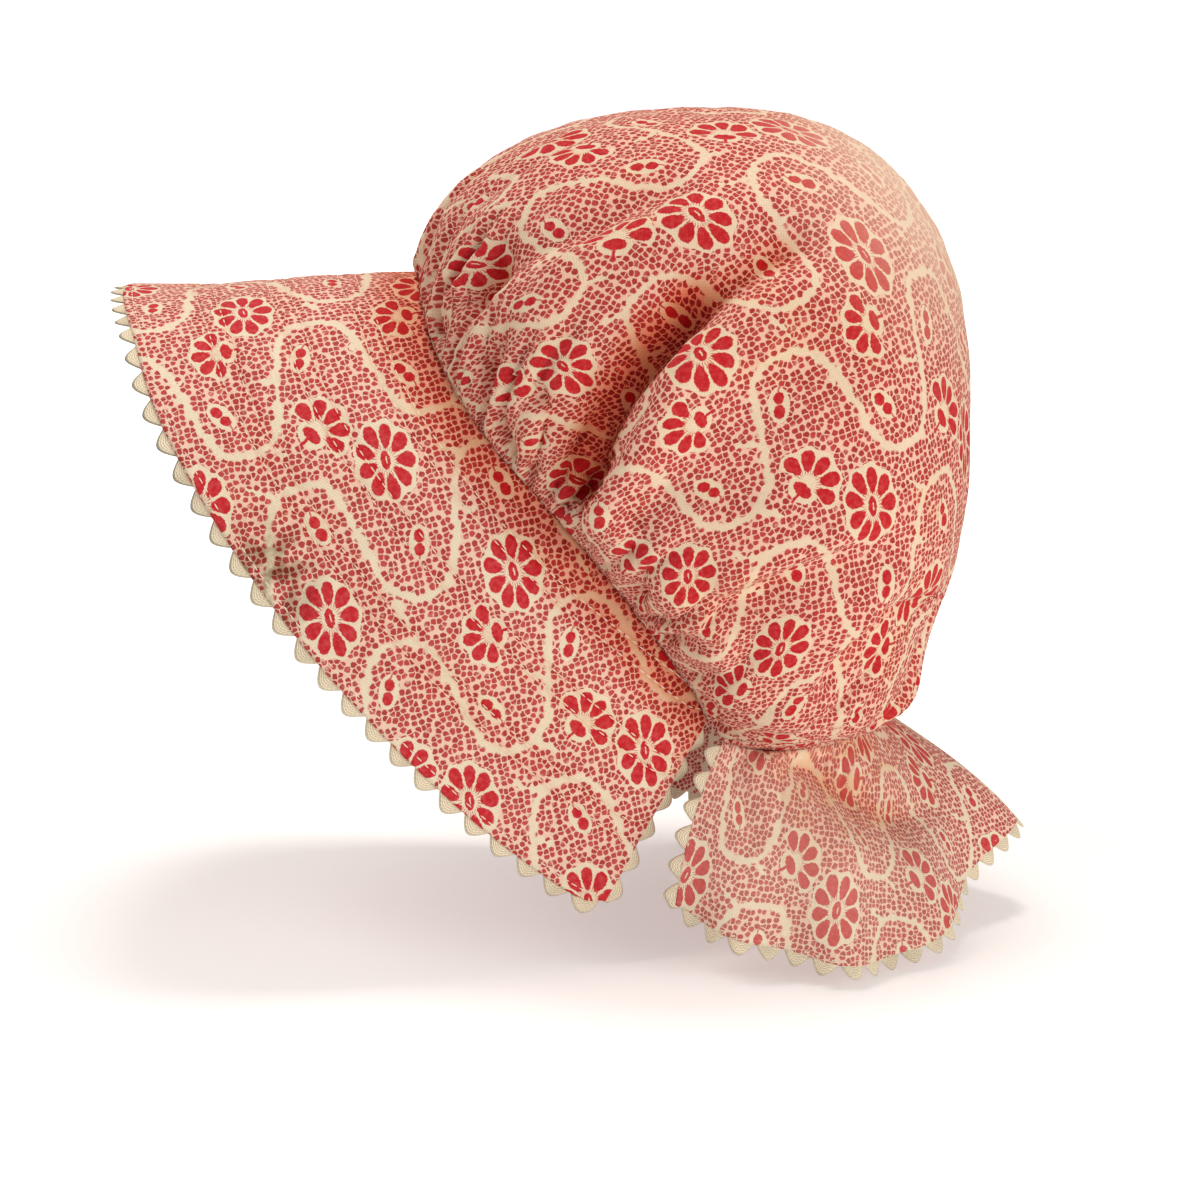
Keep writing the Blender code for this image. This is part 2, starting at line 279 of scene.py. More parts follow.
class Nodes:
    """Writes shader nodes into one tree. Most calls make a node, fill its inputs and give an output."""

    def __init__(self, tree):
        self.tree = tree

    def make(self, kind, inputs=(), output=0, **settings):
        node = self.tree.nodes.new(kind)
        for name, value in settings.items():
            setattr(node, name, value)
        for key, value in dict(inputs).items():
            self.fill(node.inputs[key], value)
        return node.outputs[output]

    def fill(self, socket, value):
        """Links an output to an input socket, or sets the socket to a plain value."""
        if isinstance(value, bpy.types.NodeSocket):
            self.tree.links.new(value, socket)
        else:
            socket.default_value = value

    def math(self, operation, *values):
        return self.make("ShaderNodeMath", enumerate(values), operation=operation)

    def vector(self, operation, *values, output=0):
        return self.make("ShaderNodeVectorMath", enumerate(values), output=output, operation=operation)

    def step(self, value, zero_at, one_at):
        """A smooth step from 0 to 1 between two values, in either order."""
        inputs = {"Value": value, "From Min": zero_at, "From Max": one_at}
        return self.make("ShaderNodeMapRange", inputs, interpolation_type="SMOOTHSTEP")

    def mix(self, share, first, second):
        """A colour that goes from the first to the second as the share goes from 0 to 1."""
        inputs = {0: share, 6: colour(first), 7: colour(second)}
        return self.make("ShaderNodeMix", inputs, output=2, data_type="RGBA")

    def parts(self, value):
        """The three parts of a vector."""
        node = self.make("ShaderNodeSeparateXYZ", {0: value}).node
        return node.outputs[0], node.outputs[1], node.outputs[2]

    def join(self, *values):
        return self.make("ShaderNodeCombineXYZ", enumerate(values))

    def noise(self, place, scale, detail=2.0, output=0):
        inputs = {"Vector": place, "Scale": scale, "Detail": detail}
        return self.make("ShaderNodeTexNoise", inputs, output=output)

    def multiplied(self, share, first, second):
        """The first colour, multiplied by the second as far as the share goes."""
        inputs = {0: share, 6: colour(first), 7: colour(second)}
        return self.make("ShaderNodeMix", inputs, output=2, data_type="RGBA", blend_type="MULTIPLY")

    def within(self, place, centre, size):
        """1 in the middle of an ellipsoid, falling smoothly to 0 at its surface."""
        off = self.vector("DIVIDE", self.vector("SUBTRACT", place, centre), size)
        return self.step(self.vector("LENGTH", off, output=1), 1.0, 0.15)

    def use(self, group, inputs, output=0):
        """A node group placed in this tree, by its inputs' names."""
        node = self.tree.nodes.new("ShaderNodeGroup")
        node.node_tree = group
        for key, value in inputs.items():
            self.fill(node.inputs[key], value)
        return node.outputs[output]


def colour(value):
    return value if isinstance(value, bpy.types.NodeSocket) else (*value, 1.0)


def new_group(name, inputs, outputs):
    """An empty node group with named sockets: its writer, its inputs and a call that links an output."""
    tree = bpy.data.node_groups.new(name, "ShaderNodeTree")
    for socket, kind in inputs.items():
        tree.interface.new_socket(socket, in_out="INPUT", socket_type=f"NodeSocket{kind}")
    for socket, kind in outputs.items():
        tree.interface.new_socket(socket, in_out="OUTPUT", socket_type=f"NodeSocket{kind}")
    entry = tree.nodes.new("NodeGroupInput").outputs
    way_out = tree.nodes.new("NodeGroupOutput").inputs
    return Nodes(tree), entry, lambda socket, value: tree.links.new(value, way_out[socket])


def wrapped_place(n, place, centre):
    """The place measured from the nearest repeat of the centre."""
    half = (REPEAT[0] / 2.0, REPEAT[1] / 2.0, 1.0)
    low = tuple(-part for part in half)
    return n.vector("WRAP", n.vector("SUBTRACT", place, centre), half, low)


def daisy_group(name, half):
    """The red of one flower and the bare ring round it: petals are ellipses along rays from its middle.

    A half daisy shows the five petals nearest its own direction, and a cup and a stem behind them."""
    n, entry, give = new_group(
        name,
        {"Place": "Vector", "Centre": "Vector", "Reach": "Vector", "Turn": "Float"},
        {"Red": "Float", "Bare": "Float"},
    )
    local = n.vector("DIVIDE", wrapped_place(n, entry["Place"], entry["Centre"]), entry["Reach"])
    back = n.math("MULTIPLY", entry["Turn"], -1.0)
    turned = n.make("ShaderNodeVectorRotate", {"Vector": local, "Angle": back}, rotation_type="Z_AXIS")
    x, y, _ = n.parts(turned)
    radius = n.vector("LENGTH", n.join(x, y, 0.0), output=1)
    ray = n.math("MULTIPLY", n.math("ARCTAN2", y, x), PETALS / (2.0 * np.pi))
    petal = n.math("ROUND", ray)
    aside = n.math("SUBTRACT", ray, petal)
    across = n.math("MULTIPLY", n.math("MULTIPLY", aside, 2.0 * np.pi / PETALS), radius)
    unlike = n.math("SINE", n.math("MULTIPLY", n.math("ADD", petal, entry["Turn"]), 4.1))
    middle = n.math("MULTIPLY_ADD", unlike, PETAL_UNLIKE, PETAL_MIDDLE)
    along = n.math("DIVIDE", n.math("SUBTRACT", radius, middle), PETAL_HALF_LENGTH)
    width = n.math("MULTIPLY_ADD", radius, PETAL_SPREAD, 0.015)
    beside = n.math("DIVIDE", across, width)
    shape = n.math("ADD", n.math("MULTIPLY", along, along), n.math("MULTIPLY", beside, beside))
    red = n.step(shape, 1.12, 0.88)
    thirds = n.math("PINGPONG", n.math("MULTIPLY_ADD", ray, RAYS_A_PETAL, 0.5), 0.5)
    line = n.math("MULTIPLY", n.step(thirds, 0.30, 0.42), n.step(radius, 0.24, 0.32))
    line = n.math("MULTIPLY", line, n.step(radius, 0.56, 0.46))
    red = n.math("MAXIMUM", red, n.math("MULTIPLY", line, 0.85))
    scallop = n.math("COSINE", n.math("MULTIPLY", aside, 2.0 * np.pi))
    bare = n.math("LESS_THAN", n.math("MULTIPLY_ADD", scallop, -BARE_SCALLOP, radius), BARE_RING)
    if half:
        fan = n.math("LESS_THAN", n.math("ABSOLUTE", petal), 0.5 * FAN_PETALS)
        red = n.math("MULTIPLY", red, fan)
        cup_x = n.math("DIVIDE", n.math("ADD", x, 0.22), 0.19)
        cup_y = n.math("DIVIDE", y, 0.34)
        stem = n.math("MULTIPLY", n.step(n.math("ABSOLUTE", y), 0.07, 0.03), n.step(x, -0.72, -0.68))
        stem = n.math("MULTIPLY", stem, n.math("LESS_THAN", x, -0.3))
        red = n.math("MAXIMUM", red, stem)
        glint = 0.0
        wide_cup = n.join(n.math("MULTIPLY", cup_x, 0.5), n.math("MULTIPLY", cup_y, 0.68), 0.0)
        round_cup = n.vector("LENGTH", wide_cup, output=1)
        bare = n.math("MAXIMUM", n.math("MULTIPLY", bare, fan), n.math("LESS_THAN", round_cup, 1.0))
    else:
        cup_x = n.math("DIVIDE", x, 0.17)
        cup_y = n.math("DIVIDE", y, 0.26)
        glint_x = n.step(n.math("ABSOLUTE", n.math("SUBTRACT", x, 0.03)), 0.035, 0.012)
        glint = n.math("MULTIPLY", glint_x, n.step(n.math("ABSOLUTE", y), 0.12, 0.07))
    cup = n.math("ADD", n.math("MULTIPLY", cup_x, cup_x), n.math("MULTIPLY", cup_y, cup_y))
    red = n.math("MAXIMUM", red, n.step(cup, 1.15, 0.85))
    give("Red", n.math("SUBTRACT", red, glint))
    give("Bare", bare)
    return n.tree


def berry_group():
    """The red of two berries in line, and a thin stem that curves away from the second, in a bare ellipse."""
    inputs = {"Place": "Vector", "Centre": "Vector", "Turn": "Float"}
    n, entry, give = new_group("berries", inputs, {"Red": "Float", "Bare": "Float"})
    local = wrapped_place(n, entry["Place"], entry["Centre"])
    back = n.math("MULTIPLY", entry["Turn"], -1.0)
    turned = n.make("ShaderNodeVectorRotate", {"Vector": local, "Angle": back}, rotation_type="Z_AXIS")
    x, y, _ = n.parts(turned)
    red = 0.0
    for middle, long, wide in ((-2.4, 2.4, 1.9), (2.3, 2.2, 1.75)):
        berry_x = n.math("DIVIDE", n.math("SUBTRACT", x, middle), long)
        away = n.vector("LENGTH", n.join(berry_x, n.math("DIVIDE", y, wide), 0.0), output=1)
        red = n.math("MAXIMUM", red, n.step(away, 1.08, 0.9))
    past = n.math("SUBTRACT", x, 4.4)
    bend = n.math("MULTIPLY", n.math("MULTIPLY", past, past), 0.16)
    stem = n.step(n.math("ABSOLUTE", n.math("SUBTRACT", y, bend)), 0.45, 0.2)
    on_stem = n.math("LESS_THAN", n.math("ABSOLUTE", n.math("SUBTRACT", past, 1.5)), 1.7)
    give("Red", n.math("MAXIMUM", red, n.math("MULTIPLY", n.math("MULTIPLY", stem, on_stem), 0.8)))
    off = n.vector("LENGTH", n.vector("DIVIDE", turned, BERRY_BARE), output=1)
    give("Bare", n.math("LESS_THAN", off, 1.0))
    return n.tree


def vine_group():
    """1 within the width of a serpentine: its height is 2 c VINE_HEIGHT over the root of 1 + 3 c squared.

    Here c is the cosine of the turns along the repeat, and the root makes the waves broad and steep-sided."""
    n, entry, give = new_group("bare vine", {"Place": "Vector", "Crest": "Vector"}, {"Bare": "Float"})
    x, y, _ = n.parts(wrapped_place(n, entry["Place"], entry["Crest"]))
    turns = n.math("MULTIPLY", x, 2.0 * np.pi / REPEAT[0])
    cosine = n.math("COSINE", turns)
    bulk = n.math("MULTIPLY_ADD", n.math("MULTIPLY", cosine, cosine), 3.0, 1.0)
    height = n.math("MULTIPLY", n.math("DIVIDE", cosine, n.math("SQRT", bulk)), -2.0 * VINE_HEIGHT)
    steep = n.math("DIVIDE", n.math("SINE", turns), n.math("POWER", bulk, 1.5))
    slope = n.math("MULTIPLY", steep, 2.0 * VINE_HEIGHT * 2.0 * np.pi / REPEAT[0])
    run = n.math("SQRT", n.math("MULTIPLY_ADD", slope, slope, 1.0))
    away = n.math("DIVIDE", n.math("ABSOLUTE", n.math("SUBTRACT", y, height)), run)
    give("Bare", n.step(away, VINE_WIDTH + 0.2, VINE_WIDTH - 0.2))
    return n.tree


def spur_group():
    """1 near a short straight branch of a vine, from the place called From along the vector called Run."""
    inputs = {"Place": "Vector", "From": "Vector", "Run": "Vector"}
    n, entry, give = new_group("bare spur", inputs, {"Bare": "Float"})
    local = wrapped_place(n, entry["Place"], entry["From"])
    run = entry["Run"]
    along, whole = (n.vector("DOT_PRODUCT", part, run, output=1) for part in (local, run))
    share = n.make("ShaderNodeClamp", {0: n.math("DIVIDE", along, whole)})
    nearest = n.vector("SCALE", run)
    n.fill(nearest.node.inputs["Scale"], share)
    away = n.vector("DISTANCE", local, nearest, output=1)
    give("Bare", n.math("LESS_THAN", away, n.math("MULTIPLY_ADD", share, -0.6, 1.05)))
    return n.tree


def print_group():
    """The printed cloth's colour at a flat place in millimetres.

    The dots are the cells of a Voronoi pattern, drawn in from each cell's edge and kept within a round dot.
    The vines are read nearer to each cell's middle, so that their borders leave the dots almost whole."""
    n, entry, give = new_group("calico print", {"Place": "Vector"}, {"Color": "Color"})
    flat = n.vector("MULTIPLY", entry["Place"], (1.0, 1.0, 0.0))
    frayed = n.vector("SUBTRACT", n.noise(flat, 0.9, 1.0, output=1), (0.5, 0.5, 0.5))
    place = n.vector("ADD", flat, n.vector("MULTIPLY", frayed, (0.9, 0.9, 0.0)))
    wander = n.vector("SUBTRACT", n.noise(flat, 0.11, 1.0, output=1), (0.5, 0.5, 0.5))
    inputs = {"Vector": n.vector("DIVIDE", place, (DOT_PITCH,) * 3), "Scale": 1.0, "Randomness": DOT_SCATTER}
    dots = n.make("ShaderNodeTexVoronoi", inputs, voronoi_dimensions="2D").node
    edge = n.make("ShaderNodeTexVoronoi", inputs, voronoi_dimensions="2D", feature="DISTANCE_TO_EDGE")
    chance, other, _ = n.parts(dots.outputs["Color"])
    cell = n.vector("MULTIPLY", dots.outputs["Position"], (DOT_PITCH, DOT_PITCH, 0.0))
    snapped = n.make("ShaderNodeMix", {0: 0.6, 4: place, 5: cell}, output=1, data_type="VECTOR")
    drawn = n.vector("ADD", snapped, n.vector("MULTIPLY", wander, (3.0, 3.0, 0.0)))

    daisy, half_daisy = daisy_group("daisy", False), daisy_group("half daisy", True)
    berry, vine, spur = berry_group(), vine_group(), spur_group()
    motifs = [(daisy, flower) for flower in DAISIES] + [(half_daisy, flower) for flower in HALF_DAISIES]
    red, bare = 0.0, 0.0
    for group, flower in motifs:
        centre = (flower.x, flower.y, 0.0)
        reach = (flower.reach_x, flower.reach_y, 1.0)
        sockets = {"Place": place, "Centre": centre, "Reach": reach, "Turn": flower.turn}
        both = n.use(group, sockets).node.outputs
        red, bare = n.math("MAXIMUM", red, both["Red"]), n.math("MAXIMUM", bare, both["Bare"])
    for pair in BERRIES:
        sockets = {"Place": place, "Centre": (pair.x, pair.y, 0.0), "Turn": pair.turn}
        both = n.use(berry, sockets).node.outputs
        red, bare = n.math("MAXIMUM", red, both["Red"]), n.math("MAXIMUM", bare, both["Bare"])
    for line in VINES:
        sockets = {"Place": drawn, "Crest": (line.crest_x, line.middle_y, 0.0)}
        bare = n.math("MAXIMUM", bare, n.use(vine, sockets))
    for branch in SPURS:
        run = (branch.end_x - branch.x, branch.end_y - branch.y, 0.0)
        sockets = {"Place": drawn, "From": (branch.x, branch.y, 0.0), "Run": run}
        bare = n.math("MAXIMUM", bare, n.use(spur, sockets))

    printed = n.math("SUBTRACT", 1.0, bare)
    size = n.math("MULTIPLY_ADD", chance, DOT_SIZE_RANGE, DOT_SIZE)
    round_dot = n.step(n.math("SUBTRACT", dots.outputs["Distance"], size), 0.06, -0.06)
    dot = n.math("MULTIPLY", n.math("MULTIPLY", n.step(edge, 0.04, 0.11), round_dot), printed)
    worn = n.step(n.noise(flat, 0.35, 3.0), 0.1, 0.45)
    ground = n.mix(n.math("MULTIPLY", printed, WASH_SHARE), CREAM, PINK_WASH)
    dot_ink = n.mix(other, DOT_ROSE, DOT_DEEP)
    dotted = n.mix(n.math("MULTIPLY", dot, worn), ground, dot_ink)
    petal_ink = n.mix(n.step(n.noise(flat, 0.55, 4.0), 0.35, 0.75), CRIMSON, CRIMSON_PALE)
    give("Color", n.mix(red, dotted, petal_ink))
    return n.tree


def weave_group():
    """Plain weave, over one and under one: the product of two sines. Both outputs also carry slubs, which are
    noise drawn out along the threads. The tone is about 0.5 and the height about 1."""
    n, entry, give = new_group("plain weave", {"Place": "Vector"}, {"Tone": "Float", "Height": "Float"})
    drift = n.vector("SUBTRACT", n.noise(entry["Place"], 0.12, 2.0, output=1), (0.5, 0.5, 0.5))
    place = n.vector("ADD", entry["Place"], n.vector("MULTIPLY", drift, (1.3, 1.3, 0.0)))
    x, y, _ = n.parts(n.vector("MULTIPLY", place, (np.pi / WEAVE_PITCH,) * 3))
    over = n.math("MULTIPLY", n.math("SINE", x), n.math("SINE", y))
    slub_x = n.noise(n.vector("MULTIPLY", entry["Place"], (0.12, 1.4, 0.0)), 1.0, 2.0)
    slub_y = n.noise(n.vector("MULTIPLY", entry["Place"], (1.4, 0.12, 0.0)), 1.0, 2.0)
    slubs = n.math("ADD", slub_x, slub_y)
    give("Tone", n.math("MULTIPLY_ADD", over, 0.25, n.math("MULTIPLY", slubs, 0.5)))
    give("Height", n.math("MULTIPLY_ADD", over, 0.5, slubs))
    return n.tree


def soil_and_glow_group():
    """Age on cloth, and painted light: a broad yellowing, one patch that multiplies the colour and one that
    mixes it towards another colour.

    The first is a real stain on the brim and painted warm light on the curtain, the second a painted glow of
    light through the thin cloth. Each has a place, a size, a strength and a colour."""
    inputs = {"Color": "Color", "Place": "Vector"}
    for mark in ("Stain And Warm Light", "Fade"):
        inputs |= {mark: "Vector", f"{mark} Size": "Vector"}
        inputs |= {f"{mark} Strength": "Float", f"{mark} Color": "Color"}
    n, entry, give = new_group("soiling and painted glow", inputs, {"Color": "Color"})
    yellow = n.step(n.noise(entry["Place"], 22.0, 4.0), 0.42, 0.80)
    marked_colour = n.multiplied(n.math("MULTIPLY", yellow, 0.30), entry["Color"], (0.96, 0.86, 0.68))
    near = n.within(entry["Place"], entry["Stain And Warm Light"], entry["Stain And Warm Light Size"])
    patchy = n.step(n.noise(entry["Place"], 160.0, 5.0), 0.32, 0.60)
    share = n.math("MULTIPLY", n.math("MULTIPLY", near, patchy), entry["Stain And Warm Light Strength"])
    # On the curtain this patch is painted warm light, not a stain
    stained_and_warmed = n.multiplied(share, marked_colour, entry["Stain And Warm Light Color"])
    # A painted glow of light through the thin cloth
    painted_glow_share = n.within(entry["Place"], entry["Fade"], entry["Fade Size"])
    give("Color", n.mix(n.math("MULTIPLY", painted_glow_share, entry["Fade Strength"]), stained_and_warmed, entry["Fade Color"]))
    return n.tree


CALICO_PRINT, PLAIN_WEAVE, SOILING_AND_GLOW = print_group(), weave_group(), soil_and_glow_group()


def calico(name, marks):
    """The calico as one piece's material: the print and the weave on its flat map, and the yellowing, the
    stains and the painted glow in space.

    A painted shade, 0 to 1 at each point, reddens the colour and raises it to a power: painted dark red shade
    in folds, gathers, quilting rows and beside seams."""
    material = bpy.data.materials.new(name)
    material.use_nodes = True
    n = Nodes(material.node_tree)
    shader = material.node_tree.nodes["Principled BSDF"]
    flat = n.make("ShaderNodeUVMap", uv_map="cloth")
    here = n.make("ShaderNodeTexCoord", output="Object")
    printed = n.use(CALICO_PRINT, {"Place": flat})
    weave = n.use(PLAIN_WEAVE, {"Place": flat}).node
    shades = {"Value": weave.outputs["Tone"], "To Min": WEAVE_DARK, "To Max": WEAVE_LIGHT}
    tone = n.make("ShaderNodeMapRange", shades)
    lit = n.vector("SCALE", printed)
    n.fill(lit.node.inputs["Scale"], tone)
    # Yellowing and stains, and on the crown and curtain a painted glow of light through the cloth
    marked_colour = n.use(SOILING_AND_GLOW, {"Color": lit, "Place": here, **marks})
    # Painted shade: an attribute, 0 to 1 at each point, makes the colour redder and darker
    painted_shade = n.make("ShaderNodeAttribute", attribute_name="painted_shade", output=2)
    shade_reddened = n.multiplied(painted_shade, marked_colour, PAINTED_SHADE_TINT)
    shade_darkened = n.make("ShaderNodeGamma", {0: shade_reddened, 1: n.math("MULTIPLY_ADD", painted_shade, PAINTED_SHADE_GAMMA, 1.0)})
    n.fill(shader.inputs["Base Color"], shade_darkened)
    relief = {"Height": weave.outputs["Height"], "Distance": WEAVE_RELIEF * MM, "Strength": 0.55}
    n.fill(shader.inputs["Normal"], n.make("ShaderNodeBump", relief))
    shader.inputs["Roughness"].default_value = 0.88
    shader.inputs["Specular IOR Level"].default_value = 0.18
    shader.inputs["Sheen Weight"].default_value = 0.04
    shader.inputs["Sheen Roughness"].default_value = 0.5
    return material


brim_seam = whole_curve([(s.seam_x, s.seam_half, s.seam_z) for s in BRIM_SECTIONS], BRIM_COLUMNS, True)
brim_edge = whole_curve([(s.edge_x, s.edge_half, s.edge_z) for s in BRIM_SECTIONS], BRIM_COLUMNS, True)
brim_share = np.linspace(0.0, 1.0, BRIM_ROWS + 1)[:, None, None]
brim_base = brim_edge * (1.0 - brim_share) + brim_seam * brim_share
brim_out = grid_normals(brim_base)
brim_depth = np.linalg.norm(brim_seam - brim_edge, axis=1)
from_edge = brim_share[..., 0] * brim_depth
from_seam = brim_depth - from_edge
quilted = sum(np.exp(-(((from_edge - row) / QUILTING_SPREAD) ** 2)) for row in QUILTING_ROWS)
brim_lift = BRIM_WAVE * ripple(brim_base, BRIM_WAVE_LENGTH, 3) * smoothstep(from_seam, 2.0, 30.0)
brim_lift = brim_lift + BRIM_PUCKER * ripple(brim_base, BRIM_PUCKER_LENGTH, 4) - QUILTING_DEPTH * quilted
brim_grid = brim_base + brim_out * brim_lift[..., None]
flat_edge, flat_seam = unrolled(brim_edge, brim_seam)
brim_flat = flat_edge * (1.0 - brim_share) + flat_seam * brim_share
brim_map = lay_print(brim_flat, brim_base, BRIM_DAISY, BRIM_WEFT)
# The brim's one mark is a real stain, on its near side
BRIM_MARKS = {"Stain And Warm Light": (-0.166, -0.100, -0.157), "Stain And Warm Light Size": (0.024, 0.040, 0.030), "Stain And Warm Light Strength": 0.95,
              "Stain And Warm Light Color": (0.36, 0.32, 0.23, 1.0)}
brim_calico = calico("brim calico", BRIM_MARKS)
# Painted shade: the shadow that the puffed crown casts on the cloth beside the seam, a little along the
# quilting rows, and a trace everywhere
brim_painted_shade = 0.65 * smoothstep(-from_seam, -24.0, -3.0) + 0.25 * quilted + 0.04
brim = sheet_piece("brim_cloth", brim_grid, brim_map, BRIM_WALL, 0.0, brim_calico, painted_shade=brim_painted_shade)
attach(brim, "root")
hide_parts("brim")


# Crown
# One large piece of calico gathered all round: to the brim's seam over the head, and to the neck seam below.
# It stands up as a puffed bag, with long soft folds down from the front seam and a roll over the neck.
CROWN_WALL = 1.0
SEAM_COLUMNS = 450
NECK_COLUMNS = 190
CHEEK_COLUMNS = 7
# The rim is sewn on the brim's outer side, a little behind the seam line
RIM_SETBACK = 0.3
RIM_PROUD = 1.1
NeckSection = namedtuple("NeckSection", "neck_x neck_half neck_z hem_x hem_half hem_z")
NECK_SECTIONS = (
    NeckSection(-9.0, 65.5, -219.5, -26.0, 90.0, -273.0),
    NeckSection(-0.5, 61.5, -223.0, -8.0, 100.0, -281.0),
    NeckSection(11.0, 55.5, -225.5, 12.0, 104.0, -286.0),
    NeckSection(23.5, 47.0, -226.5, 32.0, 104.0, -290.0),
    NeckSection(34.5, 37.5, -226.0, 50.0, 94.0, -291.5),
    NeckSection(43.0, 26.0, -224.0, 68.0, 72.0, -288.0),
    NeckSection(48.5, 13.0, -222.0, 85.0, 40.0, -277.0),
    NeckSection(50.5, 0.0, -221.0, 102.0, 0.0, -264.5),
)
CROWN_MIDDLE = np.array((-10.0, 0.0, -108.0))
CROWN_POLE = np.array((76.5, 0.0, -61.0))
REACH_FRONT = 115.0
REACH_BACK = 92.5
REACH_SIDE = 112.0
REACH_TOP = 109.6
REACH_BOTTOM = 116.0
SQUARENESS_FRONT = 2.6
SQUARENESS_BACK = 2.4
SQUARENESS_BOTTOM = 2.6
PUFF_SHARE = 0.12
PUFF_LEAN = 1.25
ROLL_HEIGHT = 12.0
ROLL_Z = -207.0
ROLL_SPREAD = 13.0
NECK_LEVELS = (196.0, 211.0)
OVERHANG = 6.0
CRUMPLE = 0.5
CRUMPLE_LENGTH = 17.0
# The rings' shares of the way from the rim to the pole: close together in the gathers, then even
CROWN_SHARES = np.concatenate([np.linspace(0.0, 0.10, 19)[:-1], np.linspace(0.10, 0.985, 50)])

# The folds in side view: three points on the path, the rise, and the spreads left and right of the path
Fold = namedtuple("Fold", "start_x start_z middle_x middle_z end_x end_z rise left right")
FOLDS = (
    Fold(-106.0, -67.1, -65.7, -39.5, -11.9, -17.0, -6.5, 9.0, 7.0),
    Fold(-89.4, -69.2, -52.9, -42.8, 23.2, -23.8, 4.5, 6.0, 12.0),
    Fold(-63.0, -145.5, -44.3, -91.6, -4.9, -54.7, -21.0, 18.0, 4.5),
    Fold(-60.0, -148.0, -38.6, -92.0, -2.1, -57.4, 3.5, 3.0, 16.0),
    Fold(-76.5, -119.6, -68.5, -92.9, -51.7, -66.8, 4.5, 7.0, 5.0),
    Fold(-91.8, -110.8, -92.2, -88.2, -83.6, -68.0, -6.0, 4.0, 6.0),
    Fold(-82.2, -121.8, -81.9, -101.8, -74.7, -83.4, -4.5, 4.5, 5.0),
    Fold(-113.8, -75.3, -95.7, -55.9, -93.2, -36.5, -4.5, 5.0, 9.0),
    Fold(-29.3, -64.4, -5.4, -51.3, 28.4, -31.9, -11.0, 14.0, 8.0),
    Fold(-33.7, -119.4, -20.9, -80.7, 24.9, -51.2, 4.0, 12.0, 22.0),
    Fold(-11.9, -134.6, 0.2, -96.8, 36.8, -73.0, -4.0, 16.0, 16.0),
    Fold(-19.6, -170.3, 13.5, -154.4, 57.0, -139.2, -6.0, 5.0, 13.0),
    Fold(-14.9, -161.6, 13.8, -147.1, 57.6, -133.7, 3.0, 12.0, 4.0),
    Fold(21.0, -201.7, 44.5, -176.5, 73.2, -172.9, -8.0, 4.0, 10.0),
    Fold(15.0, -199.9, 39.1, -170.8, 55.4, -149.8, 3.5, 14.0, 4.0),
    Fold(-52.4, -157.1, -44.7, -161.5, -35.8, -156.5, -4.0, 2.5, 3.0),
    Fold(-46.9, -165.8, -37.4, -171.8, -26.2, -166.9, -4.5, 3.0, 3.0),
    Fold(-35.6, -182.2, -24.7, -179.2, -13.5, -184.7, -5.0, 3.0, 3.5),
    Fold(-27.0, -191.5, -15.6, -192.2, -7.0, -202.7, -5.0, 3.5, 3.5),
    Fold(-75.9, -130.3, -76.2, -123.1, -75.0, -113.0, -3.5, 2.5, 2.5),
    Fold(-70.1, -136.6, -70.9, -126.8, -69.1, -116.7, -4.0, 2.5, 2.5),
    Fold(-65.2, -142.2, -64.4, -130.2, -63.0, -119.2, -4.5, 3.0, 3.0),
    Fold(-95.2, -108.0, -95.9, -100.7, -93.9, -91.4, -4.0, 3.0, 3.0),
)
FOLD_EASE = 0.14
FOLD_ROUNDNESS = 1.6
# The far side's folds can't be seen, and are the near side's, moved a little and lower
FAR_SIDE_SHIFT = np.array((5.0, -9.0))
FAR_SIDE_SHARE = 0.6

# Gathers: about how far apart, how high, and between which distances from the seam each size grows and fades.
# They lean up along the seam over each ear.
Gather = namedtuple("Gather", "pitch height grow_end fade_start fade_end seed")
GATHERS = (
    Gather(5.2, 3.0, 1.5, 8.0, 22.0, 11),
    Gather(11.0, 9.5, 6.0, 22.0, 62.0, 12),
    Gather(25.0, 5.0, 22.0, 45.0, 110.0, 13),
)
GATHER_LEAN = 0.45
GATHER_ROUNDNESS = 0.6
GATHER_LEVEL = 0.70
GATHER_SWAY = 0.16
GATHER_SHIFT = 0.16
GATHER_SHARE = 0.75
GATHER_UNEVEN = 0.14
GATHER_AT_SEAM = 0.12
# How much painted shade the gathers' valleys get, and the least painted shade anywhere on the thin bag
GATHER_SHADE = 0.55
CROWN_SHADE = 0.2
SPRING_OVERSHOOT = 1.6
# Where the print lies on the near side, as for the brim
CROWN_DAISY = (-18.7, -78.8)
CROWN_WEFT = (0.845, 0.535)


def balloon_radius(way):
    """The bag's reach along unit directions: a rounded box, (sum of |way / reach| ** power) ** (-1 / power),
    and a roll of extra cloth round the back, a bell curve in height, just above the neck."""
    front = smoothstep(-way[..., 0], -0.25, 0.25)
    below = smoothstep(-way[..., 2], -0.25, 0.25)
    power = SQUARENESS_BACK + (SQUARENESS_FRONT - SQUARENESS_BACK) * front
    power = power + (SQUARENESS_BOTTOM - power) * below
    reach_x = np.where(way[..., 0] < 0.0, REACH_FRONT, REACH_BACK)
    reach_z = np.where(way[..., 2] < 0.0, REACH_BOTTOM, REACH_TOP)
    total = np.abs(way[..., 0] / reach_x) ** power
    total = total + np.abs(way[..., 1] / REACH_SIDE) ** power + np.abs(way[..., 2] / reach_z) ** power
    radius = total ** (-1.0 / power)
    height = CROWN_MIDDLE[2] + way[..., 2] * radius
    behind = smoothstep(way[..., 0], -0.45, 0.05)
    return radius + ROLL_HEIGHT * behind * np.exp(-(((height - ROLL_Z) / ROLL_SPREAD) ** 2))


